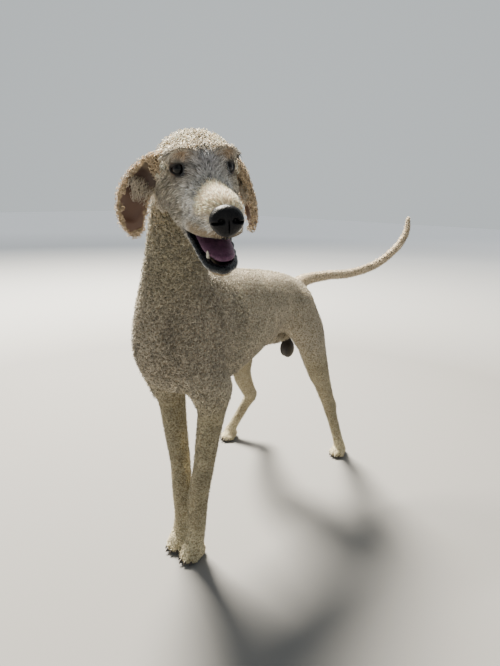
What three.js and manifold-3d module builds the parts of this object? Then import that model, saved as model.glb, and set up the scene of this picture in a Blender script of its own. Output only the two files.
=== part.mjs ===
// Standard poodle, an adult male in a short clip, as a still life-size model.
// He stands with the forefeet together, the tail out and the head turned to his left, mouth open.
// Millimetres, +Z up. He faces -Y, his own left side is +X, and the soles stand on Z = 0.
// The flesh is one smooth blend of swept oval sections, and thin cuts part it into nodes.
import * as THREE from "three";
import { mergeVertices } from "three/addons/utils/BufferGeometryUtils.js";
import Module from "manifold-3d";

const wasm = await Module();
wasm.setup();

// General sizes
const gap = 0.3; // kept between parts that meet
const reach = 2000; // half the side of a block that cuts along a plane
const spanSteps = 6; // rows of a sweep between two of its stations
const trunkCell = 24; // grid step of the trunk's surface
const headCell = 10.5; // grid step of the head's surface
const shortEdge = 0.06; // edges that cuts leave shorter than this are drawn together
const toeEdge = 2.4; // the same among the toes, before the claws are fitted
const curlEdge = 3; // the same among curls, before anything is fitted to them
const leastTurned = 0.3; // cosine of the most that a face may turn when edges are drawn together
const trunkBounds = { low: [-190, -170, 330], high: [190, 620, 720] };
const headBounds = [330, 330, 260]; // round the middle between the eyes

// Heights of the cuts that part the legs, and of the one between trunk and rump
const forearmTop = 362;
const thighCut = 398;
const pasternTop = 118;
const gaskinEnd = 196;
const pawTop = 44;
const rumpFront = 345;
const midTrunk = 200; // the trunk's lower end is at the forearms ahead of here and at the thighs behind

// Trunk and neck: stations of x, y, z, half width, half height and how much wider the top is
const trunkStations = [
  [2, -75, 535, 36, 58],
  [2, -30, 525, 64, 108],
  [2, 50, 514, 78, 134, 0.08],
  [0, 150, 518, 86, 123, 0.08],
  [0, 250, 527, 80, 101, 0.04],
  [0, 340, 527, 66, 86],
  [0, 410, 520, 64, 74],
  [0, 462, 510, 52, 60],
];
// Sheath under the belly and the fold of the groin behind it, as far as the scrotum
const sheathStations = [
  [0, 235, 432, 9, 10],
  [0, 300, 433, 12, 13],
  [0, 350, 429, 13, 15],
  [0, 400, 425, 15, 17],
  [0, 446, 428, 13, 17],
];
const neckStations = [
  [2, 20, 565, 62, 82],
  [18, -33, 620, 61, 76],
  [54, -67, 700, 53, 62],
  [94, -97, 775, 51, 57],
  [119, -110, 812, 46, 51],
];
const neckShares = { start: 0.18, base: 0.3, top: 0.86, end: 0.95 }; // its ends in and its cuts across
// Shoulder blade, point of shoulder, upper arm and elbow, mirrored for the right side
const shoulderStations = [
  [36, 65, 600, 18, 40],
  [54, 22, 540, 28, 54],
  [60, -12, 460, 30, 46],
  [64, 25, 395, 29, 42],
];
// Forelegs from the elbow to the toes: centres for each side, girths for both
const foreCentres = {
  left: [
    [62, 35, 400], [55, 35, 350], [50, 28, 290], [45, 20, 220],
    [39, 10, 150], [37, 8, 85], [37, 0, 40], [37, -12, 22],
  ],
  right: [
    [-66, 35, 400], [-60, 35, 350], [-45, 30, 280], [-28, 25, 210],
    [-17, 19, 140], [-13, 17, 80], [-13, 10, 40], [-13, -2, 22],
  ],
};
const foreGirths = [
  [31, 44], [30, 36], [27, 31], [24.5, 27], [24.5, 26], [22, 23.5], [22.5, 24], [23, 24],
];
// Hind legs: joints for each side
const hindJoints = {
  left: {
    hip: [44, 412, 500], stifle: [84, 440, 365], middle: [70, 535, 275],
    hock: [72, 603, 165], foot: [102, 632, 30],
  },
  right: {
    hip: [-44, 412, 500], stifle: [-110, 362, 361], middle: [-157, 455, 256],
    hock: [-191, 551, 153], foot: [-240, 507, 30],
  },
};
// Stations of a hind leg: the joints that each lies between, its share of the way from the first to
// the second, how far behind that line it is, its half width and its half height
const thighPlan = [
  ["hip", "stifle", 0, 0, 36, 64],
  ["hip", "stifle", 0.45, 20, 37, 62],
  ["hip", "stifle", 0.9, 16, 32, 46],
  ["stifle", "middle", 0.5, 6, 28, 40],
  ["stifle", "middle", 1, 0, 24, 34],
  ["middle", "hock", 0.65, 0, 20, 28],
  ["middle", "hock", 1, 4, 19.5, 27],
];
const rearPasternTop = [5, 14, 10, 11]; // behind and above the hock, half width and half height
const rearPasternPlan = [
  ["hock", "foot", 0.06, 0, 18, 24],
  ["hock", "foot", 0.35, 0, 17, 21.5],
  ["hock", "foot", 0.8, 0, 17, 20],
  ["hock", "foot", 1, 0, 20, 20],
];
const tailStations = [
  [0, 450, 545, 28, 28],
  [10, 500, 569, 20, 20],
  [40, 580, 577, 16.5, 16.5],
  [91, 640, 583, 15.5, 15.5],
  [146, 690, 610, 14.5, 14.5],
  [187, 730, 657, 13.5, 13.5],
  [205, 750, 701, 12, 12],
  [205, 757, 740, 9, 9],
];
const tailStart = 0.06; // share of the tail's curve where its root starts, inside the rump
const tailCuts = [0.13, 0.36, 0.58, 0.79, 1]; // shares of the curve where its lengths end
const scrotumCentre = [2, 440, 383];
const scrotumRadii = [19, 24, 27];

// Head: the middle between the eyes, then its turn, nod and tilt in degrees
const eyeMiddle = new THREE.Vector3(218.5, -191.6, 830.5);
const headTurn = 51.35;
const headNod = -8.76;
const headTilt = 4.8;
// Head stations are left, back and up from the middle between the eyes
const craniumStations = [
  [0, 4, 0, 36, 26],
  [0, 35, 0, 47, 31],
  [0, 75, -2, 48, 33],
  [0, 110, -14, 40, 30],
];
const skullCentre = [0, 62, -4];
const skullReach = 58; // about how far the topknot is from there
const topknotStations = [
  [0, 16, 14, 40, 20],
  [0, 44, 7, 53, 36],
  [0, 76, 2, 58, 46],
  [0, 108, -11, 53, 41],
];
const muzzleStations = [
  [0, 30, -30, 46, 42],
  [0, -12, -36, 36, 37],
  [0, -55, -40, 31, 30],
  [0, -88, -42, 28.5, 28],
  [0, -100, -46, 25, 25],
];
const browStations = [
  [15, -8, 20, 7, 7],
  [32, -3, 23, 8, 7],
  [47, 14, 15, 7, 7],
];
const cheekStations = [
  [34, 30, -34, 16, 22],
  [42, 58, -34, 16, 28],
  [38, 82, -40, 14, 22],
];
const lipStations = [
  [38, 44, -50, 9, 12],
  [34, 20, -62, 9, 14],
  [29, 0, -69, 8, 14],
  [27, -40, -66, 8.5, 14],
  [21, -84, -62, 9, 13],
  [9, -104, -60, 8, 11],
];
const mouthCorner = [-4, -78]; // back and up of the corner of the mouth
const upperLipFront = [-150, -64]; // where the upper lip's edge, carried on, would pass
const lowerEdge = [-150, -190]; // the same for the slanting cut that opens the mouth under it
const gapeWidth = 140;
const palateStations = [
  [0, 8, -78, 20, 12],
  [0, -45, -72, 19, 11],
  [0, -92, -68, 13, 8],
];
const jawStations = [
  [0, 72, -50, 26, 14],
  [0, 40, -70, 34, 20],
  [0, 8, -86, 30, 18],
  [0, -45, -103, 23, 13],
  [0, -78, -112, 18.5, 11],
  [0, -91, -114, 12, 8],
];
const tongueStations = [
  [0, 24, -74, 18, 7],
  [1, -20, -84, 18.5, 6.5],
  [2, -58, -93, 18, 6],
  [3.5, -76, -98, 14.5, 5.2],
  [1.5, -89, -103, 9.5, 4.2],
];
const canine = { root: [-15, -74, -107], length: 15.5, radius: 2.8 }; // the one beside the tongue
const eyeCentre = [31, 9.5, 0];
const eyeRadius = 11.5;
const lidThickness = 2.6;
const eyeTurn = 21; // degrees that each eye looks outwards
const lidOpening = [10.8, 9, 5.8]; // half width, half depth and half height
const noseCentre = [0, -117, -42];
const noseRadii = [20, 13.5, 15.5];
const noseWing = { place: [11, -4, -2], radii: [9, 9, 9.5] };
const noseLip = { place: [0, -2, -10], radii: [13, 10, 12] };
const nostril = { place: [8.5, -13.5, -1], radii: [4.2, 7, 3.4] };
const nostrilSlit = { place: [14.5, -9.5, -3.5], radii: [6, 5, 1.6] };
const ears = {
  left: {
    stations: [
      [42, 50, 4, 10, 20],
      [60, 57, -8, 11, 28],
      [75, 62, -44, 10, 35],
      [82, 62, -76, 9, 31],
      [83, 60, -98, 6, 17],
    ],
    outward: [0.97, -0.05, 0.2],
  },
  right: {
    stations: [
      [-42, 50, 4, 10, 20],
      [-64, 56, -7, 11, 27],
      [-89, 65, -36, 10, 31],
      [-96, 71, -70, 9, 28],
      [-93, 74, -97, 6, 16],
    ],
    outward: [-0.42, 0.9, 0.1],
  },
};
const earCup = { depth: 4, radii: [8, 20, 36] }; // hollow of an ear's inner face, and how deep it goes

// Curls of the topknot and the ears. Their tips reach the sizes above, and the core under them doesn't.
const curlSpread = 0.15; // how much the curls differ in size
const topknotCurls = { radius: 12, height: 8, around: 116 }; // around: how many would cover the whole ball
const topknotEdge = 2.5; // curls start where the topknot is this far outside the bare head
const earCurls = { radius: 11, height: 5, flatter: 0.85, rows: 7, first: 0.2, last: 0.94, across: [3, 4] };
const curlStray = 3; // how far a curl of an ear may lie off its row
const earCoreThinner = 3.5; // how much thinner an ear's core is on each face

// Paws: toes and claws
const toes = [
  { across: -15.5, front: 10, height: 11 },
  { across: -5.8, front: 19, height: 12 },
  { across: 5.8, front: 19, height: 12 },
  { across: 15.5, front: 10, height: 11 },
];
const toeRadii = [8.4, 14, 11.5];
const pawBack = { fore: 4, hind: -6 }; // how far behind the leg's last station the foot's middle is
const padBack = 4; // how far behind the foot's middle the middle of its pad is
const padHeight = 15;
const padRadii = { fore: [24, 32, 20], hind: [22, 32, 20] };
const clawLength = 9;
const clawRadius = 2.6;
const clawTurn = 210; // degrees from straight up, over the toe, to forwards and down
const clawRoot = [0, -13.5, -1.5]; // from the middle of the toe

// Seeded random numbers, the same in each run
let seed = 20261;
function random() {
  seed = (seed * 16807) % 2147483647;
  return seed / 2147483647;
}

const vector = (values) => new THREE.Vector3(values[0], values[1], values[2]);
const mirrored = (stations) => stations.map(([x, ...rest]) => [-x, ...rest]);
// The same stations with less half width and half height
function pared(stations, width, height = width) {
  return stations.map(([x, y, z, w, h, ...rest]) => [x, y, z, w - width, h - height, ...rest]);
}

// The head's own axes: to its left, forward and up
const turn = THREE.MathUtils.degToRad(headTurn);
const nod = THREE.MathUtils.degToRad(headNod);
const tilt = THREE.MathUtils.degToRad(headTilt);
const headForward = new THREE.Vector3(
  Math.sin(turn) * Math.cos(nod), -Math.cos(turn) * Math.cos(nod), Math.sin(nod));
const levelLeft = new THREE.Vector3(Math.cos(turn), Math.sin(turn), 0);
const levelUp = levelLeft.clone().cross(headForward).negate();
if (levelUp.z < 0) levelUp.negate();
const headLeft = levelLeft.clone().multiplyScalar(Math.cos(tilt)).addScaledVector(levelUp, Math.sin(tilt));
const headUp = levelUp.clone().multiplyScalar(Math.cos(tilt)).addScaledVector(levelLeft, -Math.sin(tilt));

// A direction and a point given as left, back and up in the head
function headDirection([left, back, up]) {
  return new THREE.Vector3()
    .addScaledVector(headLeft, left)
    .addScaledVector(headForward, -back)
    .addScaledVector(headUp, up);
}
const headPoint = (place) => headDirection(place).add(eyeMiddle);
function headStations(stations) {
  return stations.map(([left, back, up, ...girth]) => [...headPoint([left, back, up]).toArray(), ...girth]);
}

// Oval sections swept along a smooth curve. distance() is below zero inside, and is near to the
// true distance close to the surface. The half width lies along the side direction.
class Sweep {
  constructor(stations, side = [1, 0, 0]) {
    const centres = stations.map(vector);
    const girths = stations.map(([, , , width, height, egg = 0]) => new THREE.Vector3(width, height, egg));
    this.curve = new THREE.CatmullRomCurve3(centres, false, "catmullrom");
    this.girths = new THREE.CatmullRomCurve3(girths, false, "catmullrom");
    this.side = vector(side);
    this.rows = [];
    const count = (stations.length - 1) * spanSteps;
    for (let i = 0; i <= count; i++) this.rows.push(this.at(i / count));
    this.box = new THREE.Box3();
    for (const row of this.rows) {
      const most = Math.max(row.width * (1 + Math.abs(row.egg)), row.height);
      this.box.expandByPoint(row.centre.clone().subScalar(most));
      this.box.expandByPoint(row.centre.clone().addScalar(most));
    }
  }

  at(share) {
    const centre = this.curve.getPoint(share);
    const tangent = this.curve.getTangent(share);
    const girth = this.girths.getPoint(share);
    const side = this.side.clone().addScaledVector(tangent, -this.side.dot(tangent)).normalize();
    const up = tangent.clone().cross(side);
    return { centre, tangent, side, up, width: girth.x, height: girth.y, egg: girth.z };
  }

  distance(p) {
    let best = Infinity;
    for (let i = 0; i + 1 < this.rows.length; i++) {
      const a = this.rows[i];
      const b = this.rows[i + 1];
      const ex = b.centre.x - a.centre.x;
      const ey = b.centre.y - a.centre.y;
      const ez = b.centre.z - a.centre.z;
      const px = p.x - a.centre.x;
      const py = p.y - a.centre.y;
      const pz = p.z - a.centre.z;
      const t = Math.min(1, Math.max(0, (px * ex + py * ey + pz * ez) / (ex * ex + ey * ey + ez * ez)));
      const dx = px - t * ex;
      const dy = py - t * ey;
      const dz = pz - t * ez;
      const far = Math.sqrt(dx * dx + dy * dy + dz * dz);
      const width = a.width + (b.width - a.width) * t;
      const height = a.height + (b.height - a.height) * t;
      if (far - Math.max(width, height) * 1.3 > best) continue;
      const sx = a.side.x + (b.side.x - a.side.x) * t;
      const sy = a.side.y + (b.side.y - a.side.y) * t;
      const sz = a.side.z + (b.side.z - a.side.z) * t;
      const ux = a.up.x + (b.up.x - a.up.x) * t;
      const uy = a.up.y + (b.up.y - a.up.y) * t;
      const uz = a.up.z + (b.up.z - a.up.z) * t;
      const along = dx * sx + dy * sy + dz * sz;
      const above = dx * ux + dy * uy + dz * uz;
      const past = Math.max(far * far - along * along - above * above, 0);
      const egg = a.egg + (b.egg - a.egg) * t;
      const wide = width * (1 + egg * Math.min(1, Math.max(-1, above / height)));
      const share = Math.sqrt(
        (along / wide) ** 2 + (above / height) ** 2 + past / (width * height));
      const value = far > 1e-6 ? far * (1 - 1 / share) : -Math.min(width, height);
      if (value < best) best = value;
    }
    return best;
  }
}

function smoothMin(a, b, blend) {
  const share = Math.min(1, Math.max(0, 0.5 + (0.5 * (b - a)) / blend));
  return b * (1 - share) + a * share - blend * share * (1 - share);
}

// A blend of sweeps: each is [sweep, how far it melts into those before it]
function blended(list) {
  return (p) => {
    let value = Infinity;
    for (const [sweep, blend] of list) {
      if (sweep.box.distanceToPoint(p) > Math.min(value, 1e6) + blend) continue;
      const next = sweep.distance(p);
      value = value === Infinity ? next : smoothMin(value, next, blend);
    }
    return value === Infinity ? 1e6 : value;
  };
}

// Closed surface from corner points and triangles, turned to face out
function closedGeometry(points, triangles) {
  let volume = 0;
  const cross = new THREE.Vector3();
  for (const [a, b, c] of triangles) volume += points[a].dot(cross.crossVectors(points[b], points[c]));
  const facing = volume < 0 ? triangles.map(([a, b, c]) => [a, c, b]) : triangles;
  const geometry = new THREE.BufferGeometry();
  geometry.setAttribute("position", new THREE.Float32BufferAttribute(points.flatMap((p) => p.toArray()), 3));
  geometry.setIndex(facing.flat());
  return geometry;
}

// A three.js shape with its doubled corners joined, before it is put in its place
function joined(geometry) {
  geometry.deleteAttribute("normal");
  geometry.deleteAttribute("uv");
  return mergeVertices(geometry, 1e-4);
}

function solid(geometry) {
  return new wasm.Manifold(new wasm.Mesh({
    numProp: 3,
    vertProperties: Float32Array.from(geometry.attributes.position.array),
    triVerts: Uint32Array.from(geometry.index.array),
  }));
}

// The same solid with its edges under a length drawn together, where that folds nothing over
function withoutShortEdges(body, limit) {
  const mesh = body.getMesh();
  const points = [];
  for (let i = 0; i < mesh.vertProperties.length; i += 3)
    points.push(new THREE.Vector3(...mesh.vertProperties.slice(i, i + 3)));
  const triangles = [];
  const around = points.map(() => new Set());
  for (let i = 0; i < mesh.triVerts.length; i += 3) {
    triangles.push([...mesh.triVerts.slice(i, i + 3)]);
    for (const corner of triangles[i / 3]) around[corner].add(i / 3);
  }
  const neighbours = (corner) => {
    const found = new Set([...around[corner]].flatMap((t) => triangles[t]));
    found.delete(corner);
    return found;
  };
  const normal = ([a, b, c], moved, to) => {
    const [p, q, r] = [a, b, c].map((corner) => (moved.includes(corner) ? to : points[corner]));
    return q.clone().sub(p).cross(r.clone().sub(p));
  };
  const collapse = (a, b) => {
    const shared = [...around[a]].filter((t) => around[b].has(t));
    const ring = neighbours(b);
    const common = [...neighbours(a)].filter((corner) => ring.has(corner));
    if (shared.length !== 2 || common.length !== 2) return false;
    const middle = points[a].clone().lerp(points[b], 0.5);
    for (const t of new Set([...around[a], ...around[b]])) {
      if (shared.includes(t)) continue;
      const before = normal(triangles[t], [], middle);
      const after = normal(triangles[t], [a, b], middle);
      if (before.dot(after) < leastTurned * before.length() * after.length()) return false;
      if (after.length() < 1e-3 * limit * limit) return false;
    }
    points[a].copy(middle);
    for (const t of shared) {
      for (const corner of triangles[t]) around[corner].delete(t);
      triangles[t] = null;
    }
    for (const t of around[b]) {
      triangles[t] = triangles[t].map((corner) => (corner === b ? a : corner));
      around[a].add(t);
    }
    around[b].clear();
    return true;
  };
  let changed = true;
  while (changed) {
    changed = false;
    for (let t = 0; t < triangles.length; t++)
      for (let side = 0; side < 3 && triangles[t]; side++) {
        const a = triangles[t][side];
        const b = triangles[t][(side + 1) % 3];
        if (points[a].distanceTo(points[b]) < limit && collapse(a, b)) changed = true;
      }
  }
  const kept = points.map((point, i) => i).filter((i) => around[i].size > 0);
  const place = new Map(kept.map((corner, i) => [corner, i]));
  const facing = triangles.filter(Boolean).map((corners) => corners.map((corner) => place.get(corner)));
  return solid(closedGeometry(kept.map((corner) => points[corner]), facing));
}

// The same solid with every face moved out, for the socket that it sits in
function swollen(body, by = gap) {
  const mesh = body.getMesh();
  const points = [];
  for (let i = 0; i < mesh.vertProperties.length; i += 3)
    points.push(new THREE.Vector3(...mesh.vertProperties.slice(i, i + 3)));
  const triangles = [];
  const facesAt = points.map(() => []);
  for (let i = 0; i < mesh.triVerts.length; i += 3) {
    const corners = [...mesh.triVerts.slice(i, i + 3)];
    const [p, q, r] = corners.map((corner) => points[corner]);
    const normal = q.clone().sub(p).cross(r.clone().sub(p)).normalize();
    for (const corner of corners) facesAt[corner].push(normal);
    triangles.push(corners);
  }
  const moved = points.map((point, i) => {
    const out = facesAt[i].reduce((sum, normal) => sum.add(normal), new THREE.Vector3()).normalize();
    const least = Math.min(...facesAt[i].map((normal) => normal.dot(out)));
    return point.clone().addScaledVector(out, by / Math.max(least, 0.25));
  });
  return solid(closedGeometry(moved, triangles));
}

// The largest closed surface of a solid
function largest(body) {
  const pieces = body.decompose();
  return pieces.reduce((most, piece) => (piece.volume() > most.volume() ? piece : most));
}

// Fills grid corners until no face or cell has its inside corners only across a diagonal, so that
// no two sheets of the surface share a corner
function settle(values, step, cell) {
  const diagonals = [[0, 7], [1, 6], [2, 5], [3, 4]];
  const shift = [0, 1, 2, 3, 4, 5, 6, 7].map((n) => (n & 1) + ((n >> 1) & 1) * step[1] + (n >> 2) * step[2]);
  let changed = true;
  while (changed) {
    changed = false;
    const fill = (a, b) => {
      const nearest = values[a] < values[b] ? a : b;
      values[nearest] = -cell / 50;
      changed = true;
    };
    for (let at = 0; at + shift[7] < values.length; at++) {
      for (let axis = 0; axis < 3; axis++) {
        const s1 = step[(axis + 1) % 3];
        const s2 = step[(axis + 2) % 3];
        const [a, b, c, d] = [at, at + s1, at + s1 + s2, at + s2].map((place) => values[place] < 0);
        if (a !== c || b !== d || a === b) continue;
        if (a) fill(at + s1, at + s2);
        else fill(at, at + s1 + s2);
      }
      const inside = shift.map((by) => values[at + by] < 0);
      const count = inside.filter(Boolean).length;
      for (const [a, b] of diagonals) {
        if (count === 2 && inside[a] && inside[b]) fill(at + shift[a ^ 1], at + shift[a ^ 2]);
        if (count === 6 && !inside[a] && !inside[b]) fill(at + shift[a], at + shift[b]);
      }
    }
  }
}

// Surface of a field on a grid: one corner in each cell that the surface crosses, pulled onto it
function surfaceNet(field, box, cell) {
  const size = box.getSize(new THREE.Vector3());
  const count = size.toArray().map((length) => Math.ceil(length / cell) + 1);
  const step = [1, count[0], count[0] * count[1]];
  const place = (i, j, k) => box.min.clone().add(new THREE.Vector3(i * cell, j * cell, k * cell));
  const values = new Float64Array(count[0] * count[1] * count[2]);
  const onEdge = (n, axis) => n === 0 || n === count[axis] - 1;
  for (let k = 0; k < count[2]; k++)
    for (let j = 0; j < count[1]; j++)
      for (let i = 0; i < count[0]; i++) {
        const closed = onEdge(i, 0) || onEdge(j, 1) || onEdge(k, 2);
        const value = field(place(i, j, k));
        values[i + j * step[1] + k * step[2]] = closed ? Math.max(value, cell / 2) : value;
      }
  settle(values, step, cell);
  const points = [];
  const cornerOf = new Map();
  const corners = [0, 1, 2, 3, 4, 5, 6, 7].map((n) => [n & 1, (n >> 1) & 1, n >> 2]);
  for (let k = 0; k + 1 < count[2]; k++)
    for (let j = 0; j + 1 < count[1]; j++)
      for (let i = 0; i + 1 < count[0]; i++) {
        const at = i + j * step[1] + k * step[2];
        const value = corners.map(([x, y, z]) => values[at + x + y * step[1] + z * step[2]]);
        const inside = value.filter((v) => v < 0).length;
        if (inside === 0 || inside === 8) continue;
        const sum = new THREE.Vector3();
        let crossings = 0;
        for (let a = 0; a < 8; a++)
          for (const bit of [1, 2, 4]) {
            const b = a | bit;
            if (b === a || value[a] < 0 === value[b] < 0) continue;
            const t = value[a] / (value[a] - value[b]);
            sum.add(vector(corners[a]).lerp(vector(corners[b]), t));
            crossings++;
          }
        cornerOf.set(at, points.length);
        points.push(place(i, j, k).addScaledVector(sum, cell / crossings));
      }
  points.forEach((point) => pullOnto(field, point, cell / 2));
  const triangles = [];
  for (let axis = 0; axis < 3; axis++) {
    const s1 = step[(axis + 1) % 3];
    const s2 = step[(axis + 2) % 3];
    for (let at = 0; at + step[axis] < values.length; at++) {
      if (values[at] < 0 === values[at + step[axis]] < 0) continue;
      const quad = [at - s1 - s2, at - s2, at, at - s1].map((cellAt) => cornerOf.get(cellAt));
      if (quad.includes(undefined)) continue;
      if (!(values[at] < 0)) quad.reverse();
      const [a, b, c, d] = quad;
      const short = points[a].distanceTo(points[c]) < points[b].distanceTo(points[d]);
      if (short) triangles.push([a, b, c], [a, c, d]);
      else triangles.push([a, b, d], [b, c, d]);
    }
  }
  return closedGeometry(points, triangles);
}

// Moves a point along the field's slope to where the field is zero, by no more than the limit
function pullOnto(field, point, limit) {
  const probe = 0.5;
  const value = field(point);
  const slope = new THREE.Vector3();
  for (const axis of ["x", "y", "z"]) {
    const moved = point.clone();
    moved[axis] += probe;
    slope[axis] = (field(moved) - value) / probe;
  }
  const length = slope.lengthSq();
  if (length < 1e-6) return;
  slope.multiplyScalar(-value / length).clampLength(0, limit);
  point.add(slope);
}

// A rounded end: how far its last ring and its point are past the end, as shares of its length,
// and the size of that ring
const tipShape = { ring: 0.7, point: 1, narrower: 0.68 };

// Rings round a sweep, each point pushed out to the field's surface, closed by flat ends or a tip
function loft(sweep, { field = null, from = 0, to = 1, rings = 10, sides = 12, tip = 0 }) {
  const points = [];
  const triangles = [];
  const rows = [];
  for (let i = 0; i < rings; i++) rows.push(sweep.at(from + ((to - from) * i) / (rings - 1)));
  if (tip > 0) {
    const last = rows[rows.length - 1];
    const centre = last.centre.clone().addScaledVector(last.tangent, tip * tipShape.ring);
    const [width, height] = [last.width, last.height].map((girth) => girth * tipShape.narrower);
    rows.push({ ...last, centre, width, height, free: true });
  }
  for (const row of rows) {
    for (let j = 0; j < sides; j++) {
      const angle = (2 * Math.PI * (j + 0.5)) / sides;
      const egg = 1 + row.egg * Math.sin(angle);
      const arm = row.side.clone().multiplyScalar(row.width * egg * Math.cos(angle));
      arm.addScaledVector(row.up, row.height * Math.sin(angle));
      if (field && !row.free) arm.multiplyScalar(shareToSurface(field, row.centre, arm));
      points.push(row.centre.clone().add(arm));
    }
  }
  for (let i = 0; i + 1 < rows.length; i++)
    for (let j = 0; j < sides; j++) {
      const a = i * sides + j;
      const b = i * sides + ((j + 1) % sides);
      triangles.push([a, b, b + sides], [a, b + sides, a + sides]);
    }
  const first = points.length;
  const last = rows[rows.length - 1];
  points.push(rows[0].centre.clone());
  points.push(last.centre.clone().addScaledVector(last.tangent, tip * (tipShape.point - tipShape.ring)));
  const end = (rows.length - 1) * sides;
  for (let j = 0; j < sides; j++) {
    const next = (j + 1) % sides;
    triangles.push([first, next, j], [first + 1, end + j, end + next]);
  }
  return closedGeometry(points, triangles);
}

// How many times its own length an arm must have to end on the field's surface
function shareToSurface(field, centre, arm) {
  let low = 0.3;
  let high = 2;
  const test = (share) => field(centre.clone().addScaledVector(arm, share));
  if (test(high) < 0 || test(low) > 0) return 1;
  for (let i = 0; i < 12; i++) {
    const middle = (low + high) / 2;
    if (test(middle) < 0) low = middle;
    else high = middle;
  }
  return (low + high) / 2;
}

// A ball stretched to three radii and set along three axes
function ellipsoid(centre, radii, axes, around = 8, down = 6) {
  const geometry = joined(new THREE.SphereGeometry(1, around, down));
  const arms = axes.map((axis, i) => axis.clone().multiplyScalar(radii[i]));
  const matrix = new THREE.Matrix4().makeBasis(...arms).setPosition(centre);
  geometry.applyMatrix4(matrix);
  return solid(geometry);
}
const worldAxes = [[1, 0, 0], [0, 1, 0], [0, 0, 1]].map(vector);
const headAxes = [headLeft, headForward.clone().negate(), headUp];

// A block that fills all on one side of a plane
function halfSpace(point, outward) {
  const geometry = joined(new THREE.BoxGeometry(reach, reach, reach));
  geometry.applyQuaternion(new THREE.Quaternion().setFromUnitVectors(worldAxes[2], outward));
  const centre = point.clone().addScaledVector(outward, reach / 2);
  geometry.translate(centre.x, centre.y, centre.z);
  return solid(geometry);
}
function slab(low, high, back = -reach / 2, rear = reach / 2) {
  const geometry = joined(new THREE.BoxGeometry(reach, rear - back, high - low));
  geometry.translate(0, (back + rear) / 2, (low + high) / 2);
  return solid(geometry);
}

// Flesh
const neck = new Sweep(neckStations);
const tail = new Sweep(tailStations);
// Stations of a hind leg from a plan of them and the joints of its side
function planned(plan, joints) {
  return plan.map(([from, to, share, back, width, height]) => {
    const point = vector(joints[from]).lerp(vector(joints[to]), share);
    return [point.x, point.y + back, point.z, width, height];
  });
}
function rearPasternStations(joints) {
  const [back, above, width, height] = rearPasternTop;
  const [x, y, z] = joints.hock;
  return [[x, y + back, z + above, width, height], ...planned(rearPasternPlan, joints)];
}
const limbs = {};
for (const side of ["left", "right"]) {
  const shoulder = new Sweep(side === "left" ? shoulderStations : mirrored(shoulderStations));
  const foreleg = new Sweep(foreCentres[side].map((centre, i) => [...centre, ...foreGirths[i]]));
  const thigh = new Sweep(planned(thighPlan, hindJoints[side]));
  const rearPastern = new Sweep(rearPasternStations(hindJoints[side]));
  limbs[side] = { shoulder, foreleg, thigh, rearPastern };
}
const bodyField = blended([
  [new Sweep(trunkStations), 0],
  [new Sweep(sheathStations), 14],
  [neck, 50],
  [limbs.left.shoulder, 35],
  [limbs.right.shoulder, 35],
  [limbs.left.foreleg, 30],
  [limbs.right.foreleg, 30],
  [limbs.left.thigh, 35],
  [limbs.right.thigh, 35],
]);
const legField = (side) => blended([
  [limbs[side].shoulder, 0],
  [limbs[side].foreleg, 30],
]);

// The planes across the base of the neck and behind the head
function besidePlane({ centre, tangent }, sign) {
  const outward = tangent.clone().multiplyScalar(sign);
  return halfSpace(centre.clone().addScaledVector(outward, gap / 2), outward);
}
const neckBase = neck.at(neckShares.base);
const neckTop = neck.at(neckShares.top);
const belowBase = besidePlane(neckBase, -1);
const aboveBase = besidePlane(neckBase, 1);
const belowTop = besidePlane(neckTop, -1);
const aboveTop = besidePlane(neckTop, 1);

// Parts: the finished solid and material of each node
const parts = [];
const colours = {
  coat: 0xcfbfa6, face: 0xcbbfac, ear: 0xb9926c, nose: 0x161415, eye: 0x1c1310, tongue: 0x8e5a68,
  skin: 0x4a3f3b, claw: 0x2a2522,
};
function addPart(name, body, colour, roughness) {
  const kept = withoutShortEdges(largest(body), shortEdge).getMesh();
  const geometry = new THREE.BufferGeometry();
  geometry.setAttribute("position", new THREE.BufferAttribute(Float32Array.from(kept.vertProperties), 3));
  geometry.setIndex(new THREE.BufferAttribute(Uint32Array.from(kept.triVerts), 1));
  const material = new THREE.MeshStandardMaterial({ color: colours[colour], roughness, metalness: 0 });
  const mesh = new THREE.Mesh(geometry, material);
  mesh.name = name;
  parts.push(mesh);
}

// Tail: four lengths, the first with its root let into the rump
const tailRoot = solid(loft(tail, { from: tailStart, to: tailCuts[1], rings: 6, sides: 12 }));
addPart("tail_root", tailRoot, "coat", 0.95);
const tailLength = tail.curve.getLength();
for (let i = 1; i + 1 < tailCuts.length; i++) {
  const isLast = i + 2 === tailCuts.length;
  const from = tailCuts[i] + gap / tailLength;
  const length = loft(tail, { from, to: tailCuts[i + 1], rings: 6, sides: 12, tip: isLast ? 10 : 0 });
  addPart(isLast ? "tail_tip" : `tail_${i}`, solid(length), "coat", 0.95);
}

// Trunk and rump
const trunkBox = new THREE.Box3(vector(trunkBounds.low), vector(trunkBounds.high));
const aboveThighs = slab(thighCut + gap / 2, reach, midTrunk, reach);
const aboveLegs = aboveThighs.add(slab(forearmTop + gap / 2, reach, -reach, midTrunk));
const trunk = solid(surfaceNet(bodyField, trunkBox, trunkCell)).intersect(belowBase).intersect(aboveLegs);
const rump = trunk.intersect(halfSpace(new THREE.Vector3(0, rumpFront + gap / 2, 0), worldAxes[1]));
const aheadOfRump = halfSpace(new THREE.Vector3(0, rumpFront - gap / 2, 0), worldAxes[1].clone().negate());
const scrotum = ellipsoid(vector(scrotumCentre), scrotumRadii, worldAxes, 9, 7);
addPart("torso", trunk.intersect(aheadOfRump), "coat", 0.95);
addPart("rump", rump.subtract(swollen(tailRoot)).subtract(swollen(scrotum)), "coat", 0.95);
addPart("scrotum", scrotum, "skin", 0.7);

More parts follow.
